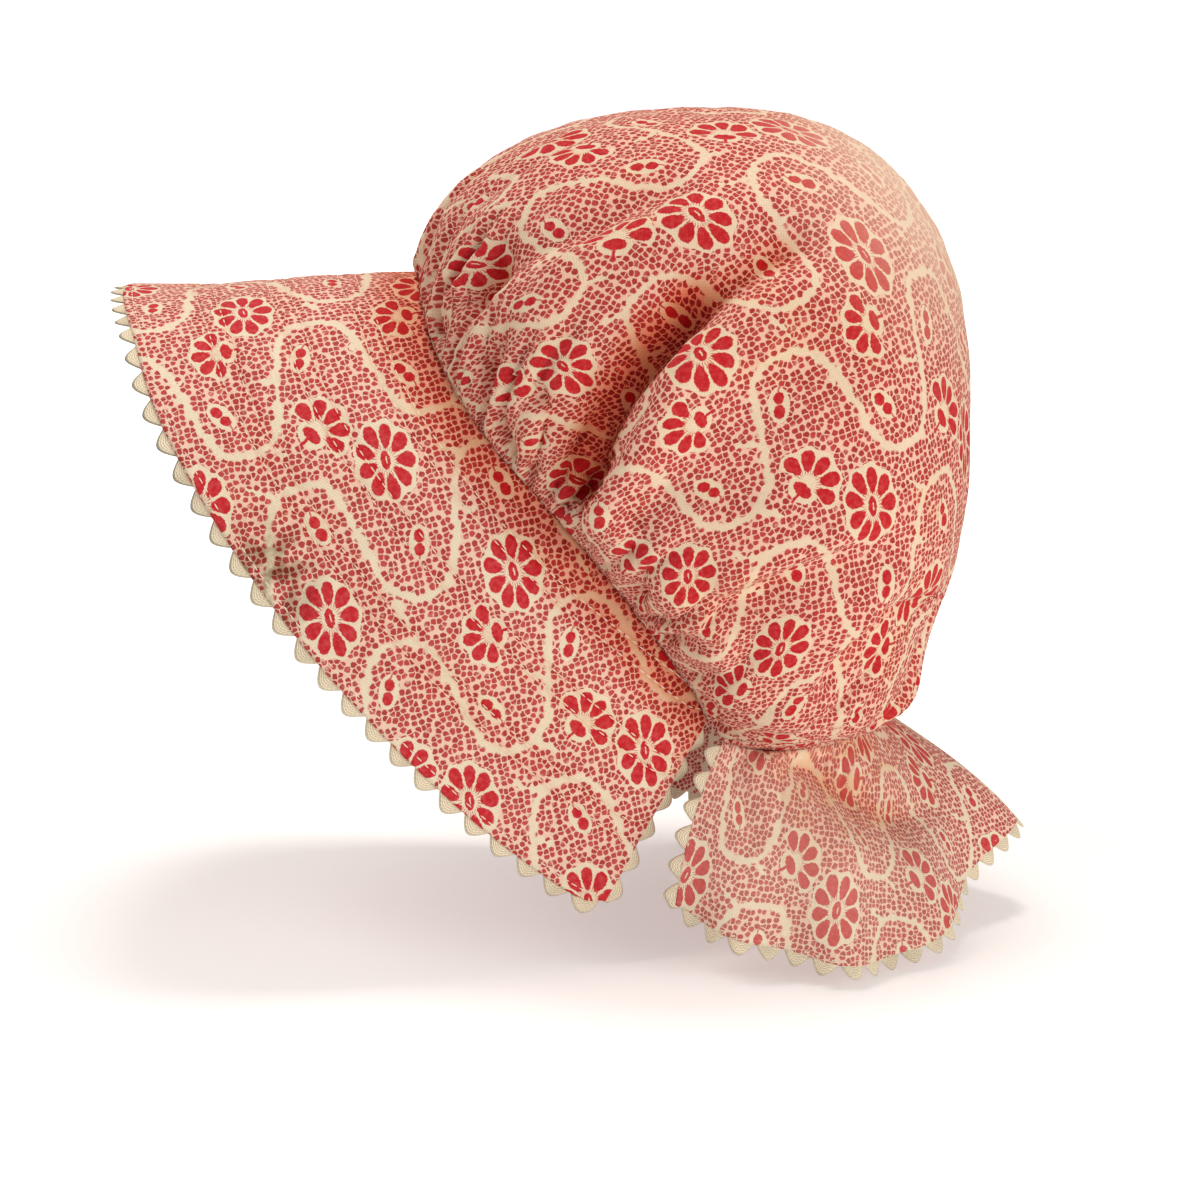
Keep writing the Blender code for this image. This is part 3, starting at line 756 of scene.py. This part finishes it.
def fold_rise(points, folds):
    """The height of all the folds, each its rise times exp(-(distance / spread) ** FOLD_ROUNDNESS).

    The distance is to its path in side view, the spread differs left and right, and both ends are eased."""
    total = np.zeros(points.shape[:-1])
    share = np.linspace(0.0, 1.0, 49)
    t = share[:, None]
    for fold in folds:
        start, middle, end = np.array(fold[:6]).reshape(3, 2)
        handle = 2.0 * middle - 0.5 * (start + end)
        path = (1.0 - t) ** 2 * start + 2.0 * t * (1.0 - t) * handle + t**2 * end
        heading = np.gradient(path, axis=0)
        reach = 3.0 * max(fold.left, fold.right)
        for side in (-1.0, 1.0):
            line = path + FAR_SIDE_SHIFT * (side > 0.0)
            view = points[..., (0, 2)]
            inside = (view > line.min(axis=0) - reach) & (view < line.max(axis=0) + reach)
            close = inside.all(axis=-1) & (side * points[..., 1] > 6.0)
            off = view[close][:, None] - line
            away = np.linalg.norm(off, axis=-1)
            nearest = away.argmin(axis=-1)
            distance = away.min(axis=-1)
            off = off[np.arange(len(off)), nearest]
            ahead = heading[nearest]
            on_left = ahead[:, 0] * off[:, 1] > ahead[:, 1] * off[:, 0]
            spread = np.where(on_left, fold.left, fold.right)
            eased = smoothstep(share[nearest], 0.0, FOLD_EASE)
            eased = eased * smoothstep(1.0 - share[nearest], 0.0, 2.0 * FOLD_EASE)
            on_side = smoothstep(side * points[close][:, 1], 8.0, 34.0)
            rise = fold.rise * (FAR_SIDE_SHARE if side > 0.0 else 1.0)
            total[close] += rise * np.exp(-((distance / spread) ** FOLD_ROUNDNESS)) * eased * on_side
    return total


def gather_rise(round_share, rim_length, depth, gather, lean=0.0):
    """One size of gathers round the rim: narrow valleys between round ridges, |cos| ** GATHER_ROUNDNESS.

    The spacing and the height vary by sums of whole turns round the rim, so the ring closes on itself. The
    lean is how far the gathers move along the rim for each unit of depth."""
    random = np.random.default_rng(gather.seed)
    turns = 2.0 * np.pi * round_share
    count = round(rim_length / gather.pitch)
    waves = random.integers(count // 6 + 1, count // 2 + 3, 6)
    phases = random.uniform(0.0, 2.0 * np.pi, (2, 6))
    shift = np.sin(turns[:, None] * waves + phases[0]).sum(axis=1) * GATHER_SHIFT
    uneven = GATHER_SHARE + GATHER_UNEVEN * np.sin(turns[:, None] * waves + phases[1]).sum(axis=1)
    sway = GATHER_SWAY * np.sin(depth / gather.pitch / 3.0 + turns * 7.0)
    place = count * (round_share - lean * depth / rim_length)
    wave = np.abs(np.cos(np.pi * (place + shift + sway))) ** GATHER_ROUNDNESS - GATHER_LEVEL
    grows = GATHER_AT_SEAM + (1.0 - GATHER_AT_SEAM) * smoothstep(depth, 0.0, gather.grow_end)
    fades = smoothstep(-depth, -gather.fade_end, -gather.fade_start)
    return gather.height * uneven * wave * grows * fades


def relaxed_map(grid, start, weight, fullness, rounds):
    """Flat places for a ring grid, by springs: each edge and diagonal pulls towards its length in space.

    Its part along the ring counts fullness times, as the cloth there is gathered up. Every round moves each
    point by the weighted mean of its springs' corrections, and a little further."""

    def around(array, down, aside):
        return np.roll(array, (-down, -aside), axis=(0, 1))

    links = []
    ring_way = unit(around(grid, 0, 1) - around(grid, 0, -1))
    for down, aside in ((0, 1), (1, 0), (1, 1), (1, -1)):
        step = around(grid, down, aside) - grid
        along = (step * ring_way).sum(axis=-1)
        rest = np.sqrt((step**2).sum(axis=-1) + (fullness**2 - 1.0) * along**2)
        pull = np.minimum(weight, around(weight, down, aside))
        if down:
            pull = pull * (np.arange(len(grid)) < len(grid) - 1)[:, None]
        links.append((down, aside, rest, pull))
    total = sum(pull + around(pull, -down, -aside) for down, aside, rest, pull in links)
    flat = start.copy()
    for _ in range(rounds):
        move = np.zeros_like(flat)
        for down, aside, rest, pull in links:
            gap = around(flat, down, aside) - flat
            length = np.maximum(np.linalg.norm(gap, axis=-1), 1e-6)
            step = gap * (0.5 * pull * (length - rest) / length)[..., None]
            move += step - around(step, -down, -aside)
        flat += SPRING_OVERSHOOT * move / total[..., None]
    return flat


crown_seam = whole_curve([(s.seam_x, s.seam_half, s.seam_z) for s in BRIM_SECTIONS], SEAM_COLUMNS, True)
crown_front = whole_curve([(s.edge_x, s.edge_half, s.edge_z) for s in BRIM_SECTIONS], SEAM_COLUMNS, True)
neck_line = whole_curve([(s.neck_x, s.neck_half, s.neck_z) for s in NECK_SECTIONS], NECK_COLUMNS, False)
seam_out = unit(curve_through(brim_out[-1], np.linspace(0.0, BRIM_COLUMNS, SEAM_COLUMNS + 1)))
set_back = crown_seam + unit(crown_seam - crown_front) * RIM_SETBACK + seam_out * RIM_PROUD
cheek = np.linspace(0.0, 1.0, CHEEK_COLUMNS + 1)[1:-1, None]
far_cheek = set_back[-1] * (1.0 - cheek) + neck_line[-1] * cheek
near_cheek = neck_line[0] * (1.0 - cheek) + set_back[0] * cheek
crown_rim = np.vstack([set_back, far_cheek, neck_line[::-1], near_cheek])
rim = crown_rim - CROWN_MIDDLE
rim_radius = np.linalg.norm(rim, axis=1)
rim_way = unit(rim)
pole_way = unit(CROWN_POLE - CROWN_MIDDLE)
rim_angle = np.arccos(rim_way @ pole_way)
ring_share = CROWN_SHARES[:, None]
crown_way = np.sin((1.0 - ring_share) * rim_angle)[..., None] * rim_way
crown_way = unit(crown_way + np.sin(ring_share * rim_angle)[..., None] * pole_way)
puffed = np.sin(0.5 * np.pi * np.clip(ring_share / PUFF_SHARE, 0.0, 1.0)) ** PUFF_LEAN
crown_radius = balloon_radius(crown_way) + (1.0 - puffed) * (rim_radius - balloon_radius(rim_way))
crown_smooth = CROWN_MIDDLE + crown_way * crown_radius[..., None]
crown_folds = fold_rise(crown_smooth, FOLDS) * puffed
crown_base = crown_smooth + crown_way * crown_folds[..., None]
on_neck = smoothstep(-crown_rim[:, 2], *NECK_LEVELS)
rim_away = np.linalg.norm(crown_base - crown_rim, axis=-1)
lowest = crown_rim[:, 2] - OVERHANG * smoothstep(rim_away, 0.5, 14.0)
crown_base[..., 2] += on_neck * np.maximum(lowest - crown_base[..., 2], 0.0)

rim_steps = np.linalg.norm(np.roll(crown_rim, -1, axis=0) - crown_rim, axis=1)
rim_length = rim_steps.sum()
round_share = np.concatenate([[0.0], np.cumsum(rim_steps)[:-1]]) / rim_length
ring_steps = np.linalg.norm(np.diff(crown_base, axis=0), axis=-1)
crown_depth = np.vstack([np.zeros(len(crown_rim)), np.cumsum(ring_steps, axis=0)])
crown_out = grid_normals(crown_base, ring=True)
seam_share = round_share / round_share[SEAM_COLUMNS]
gather_lean = GATHER_LEAN * np.sin(2.0 * np.pi * np.minimum(seam_share, 1.0))
crown_lift = sum(gather_rise(round_share, rim_length, crown_depth, gather, gather_lean) for gather in GATHERS)
crown_lift = crown_lift * (1.0 - 0.85 * smoothstep(-crown_out[..., 2], 0.35, 0.85))
crumple = CRUMPLE * ripple(crown_base, CRUMPLE_LENGTH, 21)
crown_lift = crown_lift + crumple * smoothstep(crown_depth, 6.0, 30.0)
crown_grid = crown_base + crown_out * crown_lift[..., None]
# Painted shade: dark red in the gathers' valleys near the seams and in the folds' valleys, and a little
# everywhere
gather_painted_shade = GATHER_SHADE * smoothstep(-crown_lift, 0.8, 4.5) * smoothstep(-crown_depth, -60.0, -25.0)
fold_painted_shade = smoothstep(-(crown_folds + 0.4 * crown_lift), 2.5, 15.0)
crown_painted_shade = np.maximum(fold_painted_shade, np.maximum(gather_painted_shade, CROWN_SHADE))

# The flat map is worked out on a coarser grid, in many rounds of springs, with extra fullness at the rim. The
# near side, where Y is under HELD_Y, holds its lengths fully, and the rest gives way more
RIM_FULLNESS = 0.8
RIM_FULLNESS_DEPTH = 70.0
COARSE_RINGS = 20
COARSE_STEP = 8
SPRING_ROUNDS = 1500
HELD_Y = -35.0
GIVING_SHARE = 0.4
coarse_share = np.linspace(0.0, CROWN_SHARES[-1], COARSE_RINGS)
coarse_places = np.interp(coarse_share, CROWN_SHARES, np.arange(len(CROWN_SHARES)))
coarse = curve_through(crown_base[:, ::COARSE_STEP], coarse_places)
coarse_depth = curve_through(crown_depth[:, ::COARSE_STEP], coarse_places)
spoke = np.arctan2(coarse[..., 1], (coarse - CROWN_MIDDLE) @ np.cross((0.0, 1.0, 0.0), pole_way))
to_pole = coarse_depth[-1] - coarse_depth + 4.0
first_map = np.stack([to_pole * np.sin(spoke), to_pole * np.cos(spoke)], axis=-1)
hold = np.where(coarse[..., 1] < HELD_Y, 1.0, GIVING_SHARE)
fullness = 1.0 + RIM_FULLNESS * (1.0 - smoothstep(coarse_depth, 0.0, RIM_FULLNESS_DEPTH))
coarse_map = relaxed_map(coarse, first_map, hold, fullness, SPRING_ROUNDS)
closed_map = np.concatenate([coarse_map[:, -1:], coarse_map, coarse_map[:, :2]], axis=1)
coarse_round = np.append(round_share[::COARSE_STEP], 1.0)
column_places = 1.0 + np.interp(round_share, coarse_round, np.arange(len(coarse_round)))
across_map = curve_through(closed_map.transpose(1, 0, 2), column_places).transpose(1, 0, 2)
crown_flat = curve_through(across_map, CROWN_SHARES / CROWN_SHARES[-1] * (COARSE_RINGS - 1.0))
crown_map = lay_print(crown_flat, crown_smooth, CROWN_DAISY, CROWN_WEFT)
crown_pole = CROWN_MIDDLE + pole_way * balloon_radius(pole_way)
# A painted glow of light through the thin cloth: the print paler towards the upper back
CROWN_MARKS = {"Fade": (0.070, 0.0, -0.020), "Fade Size": (0.085, 0.16, 0.095), "Fade Strength": 0.75,
               "Fade Color": (0.88, 0.78, 0.62, 1.0)}
crown_calico = calico("crown calico", CROWN_MARKS)
crown = sheet_piece("crown_cloth", crown_grid, crown_map, CROWN_WALL, -1.0, crown_calico,
                    ring=True, pole=crown_pole, painted_shade=crown_painted_shade)
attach(crown, "root")
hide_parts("crown")


# Curtain
# A shallow strip of calico gathered to the neck seam. It falls in flutes over the neck and the shoulders,
# and its hem and its two front edges are turned and edged with rickrack.
CURTAIN_WALL = 1.0
CURTAIN_COLUMNS = 340
CURTAIN_ROWS = 56
CURTAIN_DROP = 0.15
CURTAIN_BELLY = 5.0
FLUTE_COUNT = 3.5
FLUTE_RISE = 3.5
CURTAIN_GATHERS = (
    Gather(5.4, 1.0, 2.0, 6.0, 22.0, 31),
    Gather(21.0, 0.9, 16.0, 30.0, 60.0, 32),
)
CURTAIN_FOLDS = (
    Fold(14.9, -219.7, 41.0, -240.6, 76.0, -256.9, -7.5, 5.0, 10.0),
    Fold(5.0, -221.6, 22.2, -247.6, 55.0, -269.2, 4.0, 8.0, 12.0),
    Fold(-7.0, -224.0, -2.0, -240.0, 6.0, -256.0, -2.5, 4.0, 4.0),
    Fold(-18.0, -226.0, -22.0, -243.0, -24.0, -258.0, -2.5, 4.0, 4.0),
)
# The daisy here is the second of the two in the repeat
CURTAIN_DAISY = (29.6, -273.8)
CURTAIN_WEFT = (0.99, -0.12)

curtain_neck = whole_curve([(s.neck_x, s.neck_half, s.neck_z) for s in NECK_SECTIONS], CURTAIN_COLUMNS, False)
curtain_neck = curtain_neck - (0.0, 0.0, CURTAIN_DROP)
curtain_hem = whole_curve([(s.hem_x, s.hem_half, s.hem_z) for s in NECK_SECTIONS], CURTAIN_COLUMNS, False)
flare = unit((curtain_hem - curtain_neck) * (1.0, 1.0, 0.0))
across = np.linspace(-1.0, 1.0, CURTAIN_COLUMNS + 1)
flutes = FLUTE_RISE * np.cos(2.0 * np.pi * FLUTE_COUNT * across) * (1.0 - across**8)
fall = np.linspace(0.0, 1.0, CURTAIN_ROWS + 1)[:, None]
belly = CURTAIN_BELLY * 4.0 * fall * (1.0 - fall)
curtain_base = curtain_neck + fall[..., None] * (curtain_hem - curtain_neck)
curtain_base = curtain_base + (flutes * fall**1.5 + belly)[..., None] * flare
drop = np.linalg.norm(curtain_hem - curtain_neck, axis=1) * fall
neck_length = np.linalg.norm(np.diff(curtain_neck, axis=0), axis=1).sum()
curtain_lift = sum(gather_rise(0.5 + 0.5 * across, neck_length, drop, gather) for gather in CURTAIN_GATHERS)
curtain_lift = curtain_lift + fold_rise(curtain_base, CURTAIN_FOLDS)
curtain_lift = curtain_lift * (1.0 - across**12) * smoothstep(drop, 0.0, 3.0)
curtain_out = grid_normals(curtain_base)
curtain_grid = curtain_base + curtain_out * curtain_lift[..., None]
# Painted shade in the valleys of the curtain's folds and gathers
curtain_painted_shade = smoothstep(-curtain_lift, 2.0, 18.0)
hem_steps = np.linalg.norm(np.diff(curtain_base[-1], axis=0), axis=1)
hem_places = np.concatenate([[0.0], np.cumsum(hem_steps)])
curtain_flat = np.stack(np.broadcast_arrays(hem_places, drop), axis=-1)
curtain_map = lay_print(curtain_flat, curtain_base, CURTAIN_DAISY, CURTAIN_WEFT) + DAISIES[1][:2]
# Both marks are painted light through the thin cloth: a warm tint and a warm glow, high on the near side
CURTAIN_MARKS = {"Stain And Warm Light": (0.045, -0.070, -0.232), "Stain And Warm Light Size": (0.060, 0.090, 0.040), "Stain And Warm Light Strength": 0.9,
                 "Stain And Warm Light Color": (1.0, 0.80, 0.58, 1.0),
                 "Fade": (0.030, -0.090, -0.250), "Fade Size": (0.120, 0.120, 0.080), "Fade Strength": 0.16,
                 "Fade Color": (1.0, 0.82, 0.66, 1.0)}
curtain_calico = calico("curtain calico", CURTAIN_MARKS)
curtain = sheet_piece("curtain_cloth", curtain_grid, curtain_map, CURTAIN_WALL, 0.0, curtain_calico,
                      painted_shade=curtain_painted_shade)
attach(curtain, "root")
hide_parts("curtain")


# Rickrack
# Ivory cotton braid woven in a zigzag, caught between the cloth's layers so that only its points stand out:
# along the brim's front edge and its two lower edges, and along the curtain's hem and its two front edges.
BRAID_WIDTH = 7.6
BRAID_THICK = 1.0
# How far apart the points stand: the braid is eased round the curtain's hem, which brings them closer there
BRIM_BRAID_PITCH = 12.2
CURTAIN_BRAID_PITCH = 10.4
# How far the zigzag's tips, its valleys and the braid's sewn side lie outside the cloth's edge, or inside it
BRAID_TIP = 4.8
BRAID_VALLEY = -0.6
BRAID_HIDDEN = -1.4
BRAID_ROUNDING = 0.6
BRAID_POINTS = 16
BRAID_ACROSS = 9
RIB_PITCH = 0.9
SLANT_PITCH = 1.1
BRAID_RELIEF = 0.25
IVORY = (0.92, 0.83, 0.63)
IVORY_RIB = (0.60, 0.50, 0.35)
IVORY_GREY = (0.30, 0.26, 0.18)


def braid_piece(name, border, outward, pitch, node, material):
    """Rickrack along a border. Its outer side is a zigzag with round points, which rises from valley to tip
    as the root of (s squared + r squared) falls. Here s is 0 at a point and -1 and 1 at the valleys beside
    it, and r is the rounding."""
    chords = np.linalg.norm(np.diff(border, axis=0), axis=1)
    gone = np.concatenate([[0.0], np.cumsum(chords)])
    count = round(gone[-1] / pitch)
    places = np.linspace(0.0, gone[-1], count * BRAID_POINTS + 1)
    line = np.stack([np.interp(places, gone, border[:, k]) for k in range(3)], axis=1)
    way = unit(np.stack([np.interp(places, gone, outward[:, k]) for k in range(3)], axis=1))
    up = unit(np.cross(np.gradient(line, axis=0), way))
    saw = 2.0 * np.mod(places / gone[-1] * count, 1.0) - 1.0
    bow = np.hypot(saw, BRAID_ROUNDING)
    top = np.hypot(1.0, BRAID_ROUNDING)
    outer = BRAID_VALLEY + (BRAID_TIP - BRAID_VALLEY) * (top - bow) / (top - BRAID_ROUNDING)
    over = np.linspace(0.0, 1.0, BRAID_ACROSS)[:, None]
    dome = 0.5 * BRAID_THICK * np.sqrt(np.maximum(1.0 - np.abs(2.0 * over - 1.0) ** 3, 0.0))
    inward = np.maximum(outer - BRAID_WIDTH * over, BRAID_HIDDEN - 0.2 * over)
    middle = line + way * inward[..., None]
    rise = up * dome[..., None]
    ring = np.vstack([middle - rise, (middle + rise)[-2:0:-1]])
    ring_over = np.vstack([over, over[-2:0:-1]])
    flat = np.stack(np.broadcast_arrays(places, ring_over * BRAID_WIDTH), axis=-1)
    grid, flat = ring.transpose(1, 0, 2), flat.transpose(1, 0, 2)
    piece = sheet_piece(name, grid, flat, 0.0, 0.0, material, ring=True, capped=True)
    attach(piece, "root")
    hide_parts(node)
    return piece


def rickrack_material():
    """Ivory braid: fine ribs along the zigzag, crossed by slanting threads, with grey patches of dirt, and
    greyer along its outer edge, most of all high up on the bonnet."""
    material = bpy.data.materials.new("ivory rickrack")
    material.use_nodes = True
    n = Nodes(material.node_tree)
    shader = material.node_tree.nodes["Principled BSDF"]
    here = n.make("ShaderNodeTexCoord", output="Object")
    x, y, _ = n.parts(n.make("ShaderNodeUVMap", uv_map="cloth"))
    y = n.math("PINGPONG", y, BRAID_WIDTH)
    ribs = n.math("SINE", n.math("MULTIPLY", y, 2.0 * np.pi / RIB_PITCH))
    slanting = n.math("ADD", x, n.math("MULTIPLY", y, 0.8))
    slant = n.math("SINE", n.math("MULTIPLY", slanting, 2.0 * np.pi / SLANT_PITCH))
    height = n.math("MULTIPLY_ADD", slant, 0.35, ribs)
    ribbed = n.mix(n.step(height, 0.1, -1.1), IVORY, IVORY_RIB)
    soiled = n.step(n.noise(here, 38.0, 5.0), 0.48, 0.72)
    high_up = n.step(n.parts(here)[2], -0.20, -0.12)
    at_edge = n.math("MULTIPLY", n.step(y, 1.3, 0.2), n.math("MULTIPLY_ADD", high_up, 0.75, 0.06))
    share = n.math("MAXIMUM", n.math("MULTIPLY", soiled, 0.35), at_edge)
    n.fill(shader.inputs["Base Color"], n.mix(share, ribbed, IVORY_GREY))
    relief = {"Height": height, "Distance": BRAID_RELIEF * MM, "Strength": 0.5}
    n.fill(shader.inputs["Normal"], n.make("ShaderNodeBump", relief))
    shader.inputs["Roughness"].default_value = 0.8
    shader.inputs["Specular IOR Level"].default_value = 0.2
    return material


def free_border(grid):
    """The free border of a sheet whose first row is sewn: down one side, along the last row, up the other."""
    points = np.vstack([grid[1:-1, 0], grid[-1], grid[-2:0:-1, -1]])
    start = unit(grid[:, 0] - grid[:, 1])
    end = unit(grid[:, -1] - grid[:, -2])
    ways = np.vstack([start[1:-1], unit(grid[-1] - grid[-2]), end[-2:0:-1]])
    along = unit(np.gradient(points, axis=0))
    return points, unit(ways - (ways * along).sum(axis=1, keepdims=True) * along)


ivory = rickrack_material()
brim_border, curtain_border = free_border(brim_grid[::-1]), free_border(curtain_grid)
brim_braid = braid_piece("brim_braid", *brim_border, BRIM_BRAID_PITCH, "brim_rickrack", ivory)
curtain_braid = braid_piece("curtain_braid", *curtain_border, CURTAIN_BRAID_PITCH, "curtain_rickrack", ivory)


# Quilting thread
# A fine cotton thread, run by machine through the brim's layers: three pairs of rows along the front edge,
# and one row that holds the turned edge and the rickrack. Each stitch is a short bead sunk at both ends.
STITCH_STEP = 3.5
STITCH_LENGTH = 2.5
THREAD_RADIUS = 0.27
EDGE_ROW = 3.2
THREAD_PINK = (0.86, 0.70, 0.64)
# A bead's rings as shares of its half length, how full its ends are, and how deep it's sunk for its radius
STITCH_RINGS = np.array((-1.0, -0.6, 0.0, 0.6, 1.0))
STITCH_SIDES = 5
STITCH_FULLNESS = 1.15
STITCH_SUNK = 0.3


def stitch_grid(distance):
    """The brim's outer surface at a distance from its front edge: a point and a normal for each column."""
    place = distance / brim_depth * BRIM_ROWS
    row = np.clip(place.astype(int), 0, BRIM_ROWS - 1)
    column = np.arange(BRIM_COLUMNS + 1)
    share = (place - row)[:, None]
    line = brim_grid[row, column] * (1.0 - share) + brim_grid[row + 1, column] * share
    return line + brim_out[row, column] * (0.5 * BRIM_WALL), brim_out[row, column]


def stitches(distance):
    """One row's beads, as an array of beads, rings and sides: each ring is a small circle, least at the ends.

    The ring's radius is the thread's times the root of (STITCH_FULLNESS - share squared)."""
    line, out = stitch_grid(distance)
    gone = np.concatenate([[0.0], np.cumsum(np.linalg.norm(np.diff(line, axis=0), axis=1))])
    middle = np.arange(STITCH_STEP, gone[-1] - STITCH_STEP, STITCH_STEP)
    ring = middle[:, None] + 0.5 * STITCH_LENGTH * STITCH_RINGS
    place = np.stack([np.interp(ring, gone, line[:, k]) for k in range(3)], axis=-1)
    up = unit(np.stack([np.interp(ring, gone, out[:, k]) for k in range(3)], axis=-1))
    side = unit(np.cross(up, np.gradient(place, axis=1)))
    radius = THREAD_RADIUS * np.sqrt(STITCH_FULLNESS - STITCH_RINGS**2)[:, None, None]
    turn = 2.0 * np.pi * np.arange(STITCH_SIDES) / STITCH_SIDES
    spoke = side[:, :, None] * np.cos(turn)[:, None] + up[:, :, None] * np.sin(turn)[:, None]
    return place[:, :, None] - up[:, :, None] * (STITCH_SUNK * THREAD_RADIUS) + spoke * radius


bead = np.concatenate([stitches(distance) for distance in (EDGE_ROW, *QUILTING_ROWS)])
bead_corner = np.arange(bead[..., 0].size).reshape(bead.shape[:3])
bead_next = np.roll(bead_corner, -1, axis=2)
bead_side = [bead_corner[:, :-1], bead_next[:, :-1], bead_next[:, 1:], bead_corner[:, 1:]]
bead_faces = np.stack(bead_side, axis=-1).reshape(-1, 4).tolist()
bead_faces += bead_corner[:, 0, ::-1].tolist() + bead_corner[:, -1].tolist()
thread_mesh = bpy.data.meshes.new("quilting_thread")
thread_mesh.from_pydata((bead.reshape(-1, 3) * MM).tolist(), [], bead_faces)
thread_mesh.shade_smooth()
thread_cotton = bpy.data.materials.new("quilting thread")
thread_cotton.use_nodes = True
thread_nodes = Nodes(thread_cotton.node_tree)
ply = thread_nodes.noise(thread_nodes.make("ShaderNodeTexCoord", output="Object"), 900.0)
thread_shader = thread_cotton.node_tree.nodes["Principled BSDF"]
thread_nodes.fill(thread_shader.inputs["Base Color"], thread_nodes.mix(ply, THREAD_PINK, CREAM))
thread_shader.inputs["Roughness"].default_value = 0.7
thread_mesh.materials.append(thread_cotton)
thread = bpy.data.objects.new("quilting_thread", thread_mesh)
bpy.context.scene.collection.objects.link(thread)
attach(thread, "root")


# Floor, light and camera
# A white seamless floor just under the curtain's points and a white surround, a soft key light from overhead,
# wider ones from the right and from the front, and a long lens at the side, ten degrees above the middle.
FLOOR_Z = -0.2985
FLOOR_WHITE = (0.92, 0.92, 0.92)
# The floor's own glow: what everything gets, what the camera sees more near the bonnet, how much that grows
# further off, and the distances between which it does
GLOW_FOR_ALL = 0.16
GLOW_NEAR = 0.20
GLOW_GROWTH = 0.68
GLOW_START = 0.30
GLOW_END = 1.4
SURROUND_TINT = (1.0, 0.93, 0.88)
SURROUND_FOR_ALL = 0.34
SURROUND_SEEN = 0.71
WHITE = (1.0, 1.0, 1.0)
VIEW_TARGET = np.array((-0.0525, 0.0, -0.1804))
VIEW_DISTANCE = 1.1
VIEW_RISE = np.radians(10.0)
VIEW_LENS = 88.0

bpy.ops.mesh.primitive_plane_add(size=30.0, location=(0.0, 0.0, FLOOR_Z))
floor = bpy.context.active_object
floor.name = "floor"
white = bpy.data.materials.new("white floor")
white.use_nodes = True
floor_shader = white.node_tree.nodes["Principled BSDF"]
floor_shader.inputs["Base Color"].default_value = colour(FLOOR_WHITE)
floor_shader.inputs["Roughness"].default_value = 0.9
floor_shader.inputs["Emission Color"].default_value = colour(WHITE)
floor_nodes = Nodes(white.node_tree)
far_off = floor_nodes.vector("LENGTH", floor_nodes.make("ShaderNodeTexCoord", output="Object"), output=1)
further = floor_nodes.step(far_off, GLOW_START, GLOW_END)
glow = floor_nodes.math("MULTIPLY_ADD", further, GLOW_GROWTH, GLOW_NEAR)
seen = floor_nodes.math("MULTIPLY_ADD", floor_nodes.make("ShaderNodeLightPath"), glow, GLOW_FOR_ALL)
floor_nodes.fill(floor_shader.inputs["Emission Strength"], seen)
floor.data.materials.append(white)

world = bpy.data.worlds.new("white surround")
world.use_nodes = True
surround = world.node_tree.nodes["Background"]
world_nodes = Nodes(world.node_tree)
straight = world_nodes.make("ShaderNodeLightPath")
strength = world_nodes.math("MULTIPLY_ADD", straight, SURROUND_SEEN, SURROUND_FOR_ALL)
world_nodes.fill(surround.inputs["Color"], world_nodes.mix(straight, SURROUND_TINT, WHITE))
world_nodes.fill(surround.inputs["Strength"], strength)
bpy.context.scene.world = world
bpy.context.scene.view_settings.view_transform = "Standard"


def soft_light(name, place, size, power, tint):
    """A square area light at a place, turned to face the middle of the view."""
    data = bpy.data.lights.new(name, "AREA")
    data.size, data.energy, data.color = size, power, tint
    light = bpy.data.objects.new(name, data)
    light.location = place
    turn = Vector(VIEW_TARGET - np.array(place))
    light.rotation_euler = turn.to_track_quat("-Z", "Y").to_euler()
    bpy.context.scene.collection.objects.link(light)


soft_light("key", (-0.05, 0.15, 1.3), 0.45, 10.5, (1.0, 0.92, 0.84))
soft_light("fill", (0.9, -1.0, -0.1), 1.0, 13.0, (1.0, 0.94, 0.87))
soft_light("front", (-0.9, -0.3, 1.1), 0.7, 6.0, (1.0, 0.92, 0.86))

camera_data = bpy.data.cameras.new("camera")
camera_data.lens = VIEW_LENS
camera = bpy.data.objects.new("camera", camera_data)
camera.location = VIEW_TARGET + VIEW_DISTANCE * np.array((0.0, -np.cos(VIEW_RISE), np.sin(VIEW_RISE)))
camera.rotation_euler = (np.pi / 2.0 - VIEW_RISE, 0.0, 0.0)
bpy.context.scene.collection.objects.link(camera)
bpy.context.scene.camera = camera
